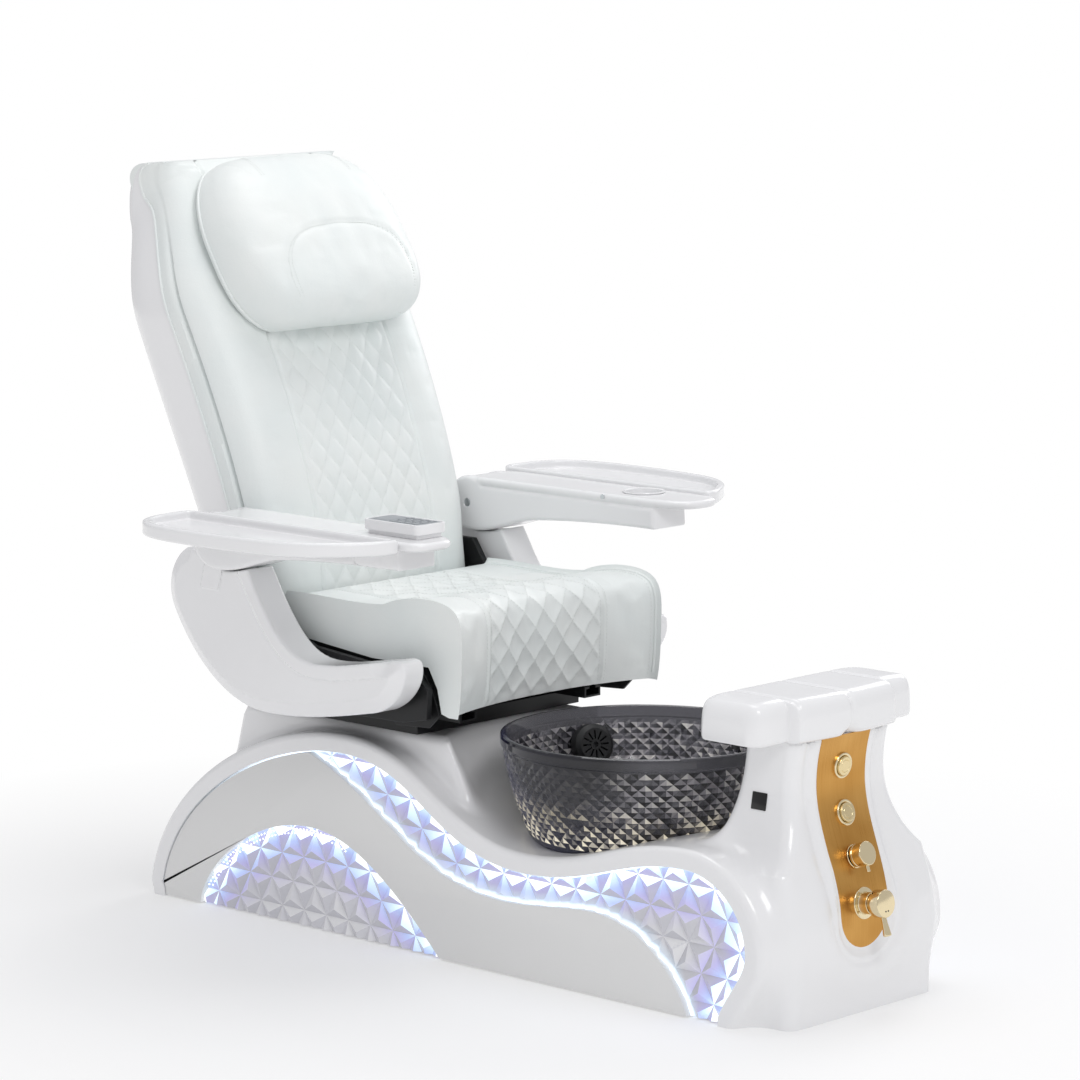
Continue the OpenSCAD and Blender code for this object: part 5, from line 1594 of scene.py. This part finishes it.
def closed_back(grid):
    """The back's rings with a soft closing at the foot and the top."""
    top, foot = grid[-1], grid[0]
    rings = list(grid)
    centre = np.tile(top.mean(0), (len(top), 1))
    for share, lift in ((0.06, 2.4), (0.2, 4.0), (0.5, 5.0), (0.85, 5.0)):
        centre[:, 0] = top[:, 0] * (1 - share * 0.12)
        ring = lerp(top, centre, share)
        ring[:, 2] = np.minimum(ring[:, 2] + lift * 0.4, 1398.3)
        rings.append(ring)
    centre = np.column_stack([foot[:, 0], np.tile(foot.mean(0)[1:], (len(foot), 1))])
    return [lerp(foot, centre, share) for share in (0.9, 0.5, 0.2)] + rings


def back_shell():
    """The hard shell behind the cushion, 7 mm thick, open towards it."""
    stations = np.r_[np.linspace(0, 0.86, 70), np.linspace(0.86, 0.985, 26)[1:]]
    loops = []
    for wall, order in ((0, stations), (7, stations[::-1])):
        for s in order:
            h = back_width(back_lines(s)[0][1]) - 1 - wall
            seam = seam_share(s) + 0.003
            loop = []
            for a in np.linspace(0, math.pi, 49):
                c = math.cos(a)
                x = h * math.copysign(abs(c) ** 0.55, c)
                loop.append(back_at(s, x, seam + (1 - seam - wall / 190) * math.sin(a) ** 0.6))
            loops.append(loop)
    m, k = len(loops), len(loops[0])
    faces = [(i * k + j, i * k + j + 1, (i + 1) % m * k + j + 1, (i + 1) % m * k + j)
             for i in range(m) for j in range(k - 1)]
    for j in (0, k - 1):
        for i in range(len(stations) - 1):
            inner = m - 1 - i
            faces.append((i * k + j, (i + 1) * k + j, (inner - 1) * k + j, inner * k + j))
    return new_mesh("back_shell_moulding", np.array(loops).reshape(-1, 3), faces)


def build_back(settings):
    """Back cushion with its quilting, the hard shell behind it, piping and stitches."""
    shares, heights = back_height()
    few_s, few_u, move = back_move(shares, heights)
    n, columns = ((300, 190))
    edge = np.linspace(0.985, 0.9, 12)
    us = np.r_[edge, np.linspace(0.9, -0.9, columns)[1:-1], np.linspace(-0.9, -0.985, 12)]
    stations = np.r_[np.linspace(0, 0.985, n), [0.992, 0.997, 1.0]]
    grid = np.array([back_ring(s, float(np.interp(s, shares, heights)), us) for s in stations])
    fade = smooth((1.0 - stations) / 0.05)[:, None, None]
    grid[:, 8:-8] += spread_out(move, few_s, -few_u, stations, -us) * fade
    front = grid[:, 8:-8].transpose(1, 0, 2).copy()
    skin = Skin(-us * BACK_SIDE, np.interp(stations, shares, heights), front)
    cushion("back_cushion_leather", closed_back(grid), "back_cushion", "back", settings)
    shell = back_shell()
    shade(shell, 45)
    dress(shell, gloss_white(), "back")
    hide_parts("back_shell")
    paths = []
    for side in (RIGHT, LEFT):
        places = [(s, back_width(back_lines(s)[0][1]) - 1.5) for s in np.linspace(0.01, 0.985, 150)]
        paths.append([back_at(s, side * x, seam_share(s) - 0.006) for s, x in places])
    piped("back_piping", paths, 2.8, settings, "back")
    every = np.arange(60, 660, 8.0)
    seams = [skin.at(np.full(len(every), x), every) for x in (-157, -143, 143, 157)]
    seams += quilt_lines(skin, *BACK_QUILT, 0, 138, 45, 620)
    beads("back_stitches", seams, 7.0, STITCH, thread(), "back")


PILLOW_POINTS, PILLOW_HEIGHT = 72, 255


def pillow_ring(t):
    """One section of the pillow at the share t of its height: a domed front, then a flat rear."""
    s = lerp(0.53, 0.855, t)
    ends = abs(2 * t - 1)
    wide = 0.62 + 0.38 * max(1e-4, 1 - ends**3.2) ** 0.6
    h = (228 - 20 * float(smooth((t - 0.5) * 2))) * wide
    thick = 0.1 + 0.36 * max(1e-4, 1 - ends**4) ** 0.5
    ring = []
    for a in np.linspace(0, math.pi, PILLOW_POINTS):
        u = -math.cos(a)
        ring.append(back_at(s, u * h, -0.05 - thick * max(0.0, 1 - abs(u) ** 5) ** 0.5))
    return ring + [back_at(s, h * x, -0.0016) for x in (0.98, 0.5, 0, -0.5, -0.98)]


def pillow_seams():
    """Seams on the pillow's front, as x and t: an arch from the foot, and two short darts at the top."""
    a = np.linspace(-1, 1, 90) * math.pi / 2
    across = 158 * np.sign(a) * np.abs(np.sin(a)) ** 0.75
    arch = np.stack([across, 0.03 + 0.5 * np.cos(a) ** 0.42], 1)
    darts = [np.stack([np.linspace(v, v * 0.86, 20), np.linspace(0.985, 0.83, 20)], 1) for v in (-150, 150)]
    return [arch, *darts]


def close_ends(rings):
    """Rings with three more at each end that draw it in to a line."""
    ends = []
    for ring in (rings[0], rings[-1]):
        middle = np.column_stack([ring[:, 0] * 0.8, np.tile(ring.mean(0)[1:], (len(ring), 1))])
        ends.append([lerp(ring, middle, share) for share in (0.25, 0.6, 0.9)])
    return ends[0][::-1] + list(rings) + ends[1]


def eased(n):
    """Shares from 0 to 1 that lie closer together at both ends."""
    return 0.5 - 0.5 * np.cos(np.linspace(0, math.pi, n))


def build_pillow(settings):
    """Head pillow with its seams, piping and stitches."""
    n = PILLOW_POINTS
    ts, few = eased(120), eased(48)
    rings, loose = [np.array([pillow_ring(float(t)) for t in shares]) for shares in (ts, few)]
    held = np.ones(loose.shape[:2])
    held[3:-3, 6:-11] = 0
    across = np.arange(rings.shape[1])
    rings += spread_out(plumped(loose, held, 9.0, 3.5), few, across, ts, across)
    # sewn seams pulled into the front
    height = np.repeat((ts * PILLOW_HEIGHT)[:, None], n, 1)
    place = np.stack([rings[:, :n, 0], height], 2).reshape(-1, 2)
    dip = np.zeros(len(place))
    for line in pillow_seams():
        dip = np.maximum(dip, 3.6 * np.exp(-((away(place, line * (1, PILLOW_HEIGHT)) / 3.8) ** 2)))
    into_pillow = np.array([0, 0.83, -0.55])
    rings[:, :n] += dip.reshape(len(ts), n)[:, :, None] * into_pillow
    cushion("head_pillow_leather", close_ends(rings), "head_pillow", "back", settings)
    outline_rings = np.array([pillow_ring(float(t)) for t in np.linspace(0.02, 0.98, 60)])
    edge = np.vstack([outline_rings[:, 0], outline_rings[::-1, n - 1]])
    piped("pillow_piping", [edge], 2.8, settings, "back", closed=True)
    middle = rings[len(ts) // 2, :n, 0]
    order = np.argsort(middle)
    skin = Skin(middle[order], ts, rings[:, order].transpose(1, 0, 2).copy())
    seams = [skin.at(seam[:, 0] + shift, seam[:, 1]) for seam in pillow_seams() for shift in (-3.2, 3.2)]
    beads("pillow_stitches", seams, 6.0, STITCH, thread(), "back")


# ---- arms, trays and remote --------------------------------------------------------------------
PIN, TRAY_PIN, CUP, CHEEK_X = (410.0, 732.0), (432.0, 413.0), (350.0, 10.0), 333.0
ARM_OUTER = (
    [[511, 706], [545, 690], [575, 640], [548, 590]], [[548, 590], [515, 530], [430, 423], [300, 423]],
    [[300, 423], [200, 423], [110, 442], [25, 459]], [[25, 459], [-20, 470], [-56, 510], [-52, 545]],
    [[-52, 545], [-51, 560], [-40, 563], [-10, 556]],
)
ARM_INNER = (
    [[-10, 556], [60, 545], [100, 534], [150, 533]], [[150, 533], [215, 531], [248, 560], [290, 618]],
    [[290, 618], [318, 655], [330, 690], [352, 706]],
)


def arm_side_view():
    """Closed side view of an armrest in Y and Z."""
    under = chain([
        [[407, 680], [350, 676], [310, 700], [250, 712]], [[250, 712], [190, 720], [60, 728], [-70, 727]],
    ])
    return np.vstack([under, [(-70, 727), (-68, 768), (410, 768)]])


def arm_plan():
    """Closed plan of the armrest's top pad in X and Y."""
    front = chain([
        [[286, 380], [286, 300], [286, 120], [286, -20]], [[286, -20], [286, -80], [294, -130], [330, -140]],
        [[330, -140], [370, -148], [404, -140], [404, -100]],
    ])
    return np.vstack([front, [(404, -100), (404, 380), (388, 412), (298, 412)]])


def tray_plan():
    """Closed plan of a tray in X and Y, round about its pin."""
    x, y = TRAY_PIN
    turn = [(x + 24 * math.cos(a), y + 24 * math.sin(a)) for a in np.linspace(math.pi, math.pi / 2, 8)]
    edge = chain([
        [[442, 437], [520, 438], [570, 420], [585, 330]], [[585, 330], [598, 230], [586, 120], [575, 55]],
        [[575, 55], [562, 0], [530, -40], [490, -66]], [[490, -66], [455, -88], [440, -100], [420, -100]],
    ])
    return np.vstack([turn, edge, [(420, -100), (411, -99), (408, -92)]])


def disc(y, z, r):
    """Distance to a cylinder round the arm's pin."""
    return np.hypot(y - PIN[0], z - PIN[1]) - r


def between(value, low, high):
    """Negative between two values."""
    return np.maximum(low - value, value - high)


def build_arm_shells():
    """The moulded C-shaped arm shells with the tongue that carries the armrest's pin."""
    outer, inner = chain(ARM_OUTER), chain(ARM_INNER)
    whole = profile(np.vstack([outer, inner]), (-80, 400), (600, 790))
    arm = profile(arm_side_view(), (-90, 650), (440, 790))
    from_outer = Grid(lambda p: away(p, outer), (-80, 400), (600, 788), 4.0)
    from_inner = Grid(lambda p: away(p, inner), (-80, 400), (600, 788), 4.0)

    def value(x, y, z):
        chamfer = 17 * np.clip(1 - from_outer(y, z) / 32, 0, 1)
        band = 3 * smooth((from_inner(y, z) - 25) / 4)
        face = np.maximum(x - 366 + np.maximum(chamfer, band), 300 - x)
        body = corner(whole(y, z), face, 4)
        body = smax(body, -disc(y, z, 56), 2)
        body = smax(body, -(arm(y, z) - 3), 2)
        neck = np.maximum(np.abs(y - lerp(410, 432, (732 - z) / 80)) - 24, between(z, 640, 732))
        tongue = np.maximum(np.minimum(disc(y, z, 32), neck), np.abs(x - CHEEK_X) - 33)
        return np.minimum(body, tongue)

    shell = moulding("arm_shell_left_moulding", value, (292, -66, 410), (374, 594, 776), 3.5)
    foot = [(60, 470), (60, 520), (250, 530), (330, 560), (400, 600), (420, 540), (330, 470)]
    shell = join("arm_shell_left_moulding", [shell, prism("link", foot, 285.5, 302)])
    twin = mirrored(shell, "arm_shell_right_moulding")
    for thing, side in ((shell, "left"), (twin, "right")):
        dress(thing, gloss_white(), "seat")
        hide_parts(f"arm_shell_{side}")


def armrest_field(cup):
    """Signed distance to a left armrest: arm, cheeks round the pin, top pad and cup holder."""
    side_view = profile(arm_side_view(), (-170, 620), (480, 820))
    plan = profile(arm_plan(), (270, -170), (420, 440))

    def value(x, y, z):
        arm = side_view(y, z)
        from_cup = np.hypot(x - CUP[0], y - CUP[1])
        body = corner(np.minimum(arm, disc(y, z, 52)), np.abs(x - 333.5) - 47.2, 7)
        inside_cheeks = np.abs(x - CHEEK_X) - 34
        neck = np.maximum(between(y, 375, 590), between(z, 600, 736))
        slot = np.maximum(inside_cheeks, np.minimum(disc(y, z, 35), neck))
        # between the cheeks there is only the arm itself
        gap = np.maximum(np.maximum(inside_cheeks, -arm), 345 - y)
        body = smax(body, -np.minimum(slot, gap), 2)
        body = smin(body, corner(from_cup - 44, between(z, 730, 782), 5), 8)
        whole = smin(body, corner(plan(x, y), between(z, 768.5, 784), 7), 5)
        if cup:
            whole = smax(whole, -np.maximum(from_cup - 37, 742 - z), 3)
        return np.maximum(whole, -disc(y, z, 8.05))

    return value


def build_armrests():
    """Armrests; the left one holds a cup."""
    low, high = (280.5, -152, 670), (410.5, 470, 793)
    for side, cup in (("left", True), ("right", False)):
        thing = moulding(f"armrest_{side}_moulding", armrest_field(cup), low, high, 3.5)
        if side == "right":
            turned_over(thing)
        dress(thing, gloss_white(), f"{side}_arm")
        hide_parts(f"armrest_{side}")
    wall = [(34, 744), (36.2, 746), (36.6, 783), (39.5, 784.4), (40.6, 786), (40, 787.6), (37, 788)]
    cup = turned("white_cup", wall + [(34.6, 786.5), (33.4, 750), (31, 748), (0.01, 747.5)])
    placed(cup, Matrix.Translation((CUP[0] / 1000, CUP[1] / 1000, 0)))
    shade(cup, 50)
    dress(cup, gloss_white(), "left_arm")


def build_trays():
    """Swing trays with a shallow basin and a round post."""
    plan = profile(tray_plan(), (390, -120), (620, 460))

    def value(x, y, z):
        edge = plan(x, y)
        body = corner(edge, between(z, 764, 790), 5)
        basin = corner(edge + 13, 775.5 - z, 5)
        return smax(body, -np.maximum(basin, -30), 4)

    tray = moulding("tray_left_moulding", value, (400, -108, 757), (604, 446, 797), 3.0)
    foot = [(0.01, 738), (10, 738), (11, 739), (11, 742), (10.5, 742.6), (7, 743), (7, 763.9)]
    post = placed(turned("post", foot, 48), Matrix.Translation((TRAY_PIN[0] / 1000, TRAY_PIN[1] / 1000, 0)))
    tray = join("tray_left_moulding", [tray, post])
    twin = mirrored(tray, "tray_right_moulding")
    for thing, side in ((tray, "left"), (twin, "right")):
        dress(thing, gloss_white(), f"{side}_tray")
        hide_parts(f"tray_{side}")


def build_hardware():
    """The pieces that keep their CAD shape, with their edges rounded."""
    steel = plated("brushed stainless steel", "#C9CACC", 0.24, 0.2)
    chrome = plated("polished chrome", "#DADCDF", 0.07)
    brass = plated("plumbing brass", "#B58B3F", 0.3)
    keypad = black_plastic("grey silicone keypad", "#9EA2A6", 0.5)
    black = black_steel()
    jobs = [
        ("rail_plate", 1.5, black, "base", "black_steel"), ("slide_rails", 0.8, black, "base", "black_steel"),
        ("seat_carriage", 1.0, black, "seat", "black_steel"), ("seat_pan", 1.5, black, "seat", "black_steel"),
        ("back_frame", 1.2, black, "back", "black_steel"), ("recline_pins", 0.8, chrome, "seat", "chrome"),
        ("levelling_feet", 1.0, rubber(), "base", "rubber"),
        ("valve_body", 1.2, brass, "base", "plumbing_brass"),
        ("remote_body", 2.6, gloss_white(), "right_arm", "body_gloss"),
        ("remote_keypad", 0.5, keypad, "right_arm", "keypad"),
    ]
    for side in ("right", "left"):
        jobs += [
            (f"side_plate_{side}", 1.5, black, "seat", "black_steel"),
            (f"arm_pin_{side}", 0.8, chrome, "seat", "chrome"),
            (f"arm_screw_{side}", 0.5, chrome, f"{side}_arm", "chrome"),
            (f"tray_bracket_{side}", 0.9, steel, f"{side}_arm", "steel"),
        ]
    for name, width, mat, body, slot in jobs:
        dress(dressed(name + "_part", name, width), mat, body)


def black_steel():
    """Powder-coated black steel with a fine texture."""
    black = tint("#131416")
    made, tree, shader = material("black powder coated steel", Base_Color=black, Metallic=0.2, IOR=1.5)
    if tree:
        grain = noise(tree, 1200, 2)
        feed(tree, shader, Roughness=spread(tree, grain.outputs["Fac"], 0.3, 0.7, 0.4, 0.55))
        feed(tree, shader, Normal=bump(tree, grain.outputs["Fac"], 0.2, 0.0003))
    return made


# ---- stage -------------------------------------------------------------------------------------
CAMERA_AZIMUTH, CAMERA_ELEVATION, CAMERA_DISTANCE = -46.873, 8.726, 7.0
CAMERA_AIM = (-0.6644, -0.6736, 0.8788)


def area_light(name, place, size, power):
    """A soft rectangular light that looks at the chair."""
    data = bpy.data.lights.new(name, "AREA")
    data.shape, data.size, data.size_y, data.energy = "RECTANGLE", size[0], size[1], power
    lamp = bpy.data.objects.new(name, data)
    lamp.location = place
    return lamp


def aimed(thing, aim):
    """A light or camera in the scene, turned to look at a place."""
    thing.rotation_euler = (Vector(aim) - thing.location).to_track_quat("-Z", "Y").to_euler()
    bpy.context.scene.collection.objects.link(thing)
    return thing


def studio_floor(settings):
    """Pale floor that keeps the shadow near the object and fades to the white of the backdrop."""
    made, tree, shader = material("studio floor", Base_Color=tint(settings.floor_colour), Roughness=0.9)
    if tree:
        place = node(tree, "ShaderNodeTexCoord").outputs["Object"]
        far = node(tree, "ShaderNodeVectorMath", {0: place}, operation="LENGTH").outputs["Value"]
        white = node(tree, "ShaderNodeEmission", Strength=1.0).outputs[0]
        fade = {0: spread(tree, far, 0.9, 1.8, 0.3, 1), 1: shader.outputs[0], 2: white}
        mix = node(tree, "ShaderNodeMixShader", fade).outputs[0]
        tree.links.new(mix, tree.nodes["Material Output"].inputs["Surface"])
    return made


def studio_world(settings):
    """White behind the object, and a softer light from all round on it."""
    world = bpy.data.worlds.new("studio")
    world.use_nodes = True
    tree = world.node_tree
    tree.nodes.clear()
    path = node(tree, "ShaderNodeLightPath").outputs
    seen = math_node(tree, "MAXIMUM", path["Is Camera Ray"], path["Is Transmission Ray"])
    white = node(tree, "ShaderNodeBackground", Color=(1, 1, 1, 1), Strength=1.0).outputs[0]
    dim = node(tree, "ShaderNodeBackground", Color=tint("#FCFCFF"), Strength=settings.ambient).outputs[0]
    mix = node(tree, "ShaderNodeMixShader", {0: seen, 1: dim, 2: white}).outputs[0]
    node(tree, "ShaderNodeOutputWorld", {"Surface": mix})
    return world


def build_stage(settings):
    """Floor, soft lights, and the camera at the angle of the product picture."""
    scene = bpy.context.scene
    scene.view_settings.view_transform = "Standard"
    far = 9000
    corners = [(-far, -far, 0), (far, -far, 0), (far, far, 0), (-far, far, 0)]
    floor = new_mesh("studio_floor", corners, [(0, 1, 2, 3)])
    floor.data.materials.append(studio_floor(settings))
    scene.world = studio_world(settings)
    key = settings.key
    aimed(area_light("key_softbox", (-1.6, -3.6, 3.4), (1.5, 1.5), key), (0, -0.3, 0.6))
    aimed(area_light("rim_softbox", (3.6, 0.6, 2.4), (1.6, 2.0), key * 0.6), (0, -0.2, 0.6))
    aimed(area_light("top_softbox", (0.2, 0.2, 4.0), (2.0, 2.0), key * 0.8), (0, 0, 0.6))
    data = bpy.data.cameras.new("photo_camera")
    data.sensor_width, data.lens = 36.0, settings.lens
    camera = bpy.data.objects.new("photo_camera", data)
    azimuth, elevation = math.radians(CAMERA_AZIMUTH), math.radians(CAMERA_ELEVATION)
    out = math.cos(elevation)
    back = Vector((math.sin(azimuth) * out, -math.cos(azimuth) * out, math.sin(elevation)))
    camera.location = Vector(CAMERA_AIM) + CAMERA_DISTANCE * back
    scene.camera = aimed(camera, CAMERA_AIM)
    bpy.context.view_layer.update()


# ---- add-on ------------------------------------------------------------------------------------
class SpaChairLight(PropertyGroup):
    light_power: FloatProperty(
        name="Facet light", description="Emission of the facets by the light lines", default=0.75, min=0, max=5
    )
    painted_edge_highlight: FloatProperty(
        name="Edge light", description="Emission of the facets' lower lit edge", default=0.9, min=0, max=5
    )
    bowl_power: FloatProperty(
        name="Bowl light", description="Emission of the brightest bowl facets", default=0.8, min=0, max=6
    )
    key: FloatProperty(
        name="Key light", description="Power of the main soft light", default=46.0, min=0, unit="POWER"
    )
    ambient: FloatProperty(
        name="Ambient", description="Strength of the light from all round", default=0.62, min=0, max=3
    )
    lens: FloatProperty(
        name="Lens", description="Focal length of the camera in millimetres", default=145.92, min=20, max=300
    )
    floor_colour: StringProperty(name="Floor", description="sRGB hex code of the floor", default="#F8F8F8")


class SpaChairLeather(PropertyGroup):
    crease: FloatProperty(
        name="Creases", description="Depth of the soft creases", default=0.35, min=0, max=1, subtype="FACTOR"
    )


class SPA_OT_base(Operator):
    """Moulded base with its lit side panels and footrest pad"""

    bl_idname = "spa.base"
    bl_label = "Base"
    bl_options = {"REGISTER", "UNDO"}

    def execute(self, context):
        build_base()
        build_sides(context.scene.spa_light)
        build_pad()
        return {"FINISHED"}


class SPA_OT_controls(Operator):
    """Gold panel with buttons, diverter and mixer"""

    bl_idname = "spa.controls"
    bl_label = "Controls"
    bl_options = {"REGISTER", "UNDO"}

    def execute(self, context):
        build_panel()
        return {"FINISHED"}


class SPA_OT_bowl(Operator):
    """Faceted glass bowl, drain, filler and jet"""

    bl_idname = "spa.bowl"
    bl_label = "Bowl"
    bl_options = {"REGISTER", "UNDO"}

    def execute(self, context):
        build_bowl(context.scene.spa_light)
        return {"FINISHED"}


class SPA_OT_seat(Operator):
    """Seat cushion with quilting and piping"""

    bl_idname = "spa.seat"
    bl_label = "Seat"
    bl_options = {"REGISTER", "UNDO"}

    def execute(self, context):
        build_seat(context.scene.spa_leather)
        return {"FINISHED"}


class SPA_OT_back(Operator):
    """Back cushion, shell and head pillow"""

    bl_idname = "spa.back"
    bl_label = "Back"
    bl_options = {"REGISTER", "UNDO"}

    def execute(self, context):
        build_back(context.scene.spa_leather)
        build_pillow(context.scene.spa_leather)
        return {"FINISHED"}


class SPA_OT_arms(Operator):
    """Arm shells, armrests and trays"""

    bl_idname = "spa.arms"
    bl_label = "Arms"
    bl_options = {"REGISTER", "UNDO"}

    def execute(self, context):
        build_arm_shells()
        build_armrests()
        build_trays()
        return {"FINISHED"}


class SPA_OT_hardware(Operator):
    """Seat frame, brackets, pins, feet and remote"""

    bl_idname = "spa.hardware"
    bl_label = "Hardware"
    bl_options = {"REGISTER", "UNDO"}

    def execute(self, context):
        build_hardware()
        return {"FINISHED"}


class SPA_OT_stage(Operator):
    """Floor, lights and camera"""

    bl_idname = "spa.stage"
    bl_label = "Stage"
    bl_options = {"REGISTER", "UNDO"}

    def execute(self, context):
        build_stage(context.scene.spa_light)
        return {"FINISHED"}


STEPS = (
    SPA_OT_base, SPA_OT_controls, SPA_OT_bowl, SPA_OT_seat, SPA_OT_back,
    SPA_OT_arms, SPA_OT_hardware, SPA_OT_stage,
)


class SPA_PT_sidebar(Panel):
    """Settings and steps of the spa chair"""

    bl_label = "Spa chair"
    bl_space_type = "VIEW_3D"
    bl_region_type = "UI"
    bl_category = "Spa chair"

    def draw(self, context):
        for group in (context.scene.spa_light, context.scene.spa_leather):
            for key in group.__annotations__:
                self.layout.prop(group, key)
        for made in STEPS:
            self.layout.operator(made.bl_idname)


CLASSES = (SpaChairLight, SpaChairLeather, *STEPS, SPA_PT_sidebar)


def register():
    for c in CLASSES:
        bpy.utils.register_class(c)
    bpy.types.Scene.spa_light = PointerProperty(type=SpaChairLight)
    bpy.types.Scene.spa_leather = PointerProperty(type=SpaChairLeather)


def unregister():
    del bpy.types.Scene.spa_light, bpy.types.Scene.spa_leather
    for c in reversed(CLASSES):
        bpy.utils.unregister_class(c)


def main():
    register()
    for made in STEPS:
        getattr(bpy.ops.spa, made.bl_idname.split(".")[1])()


if __name__ == "__main__":
    main()
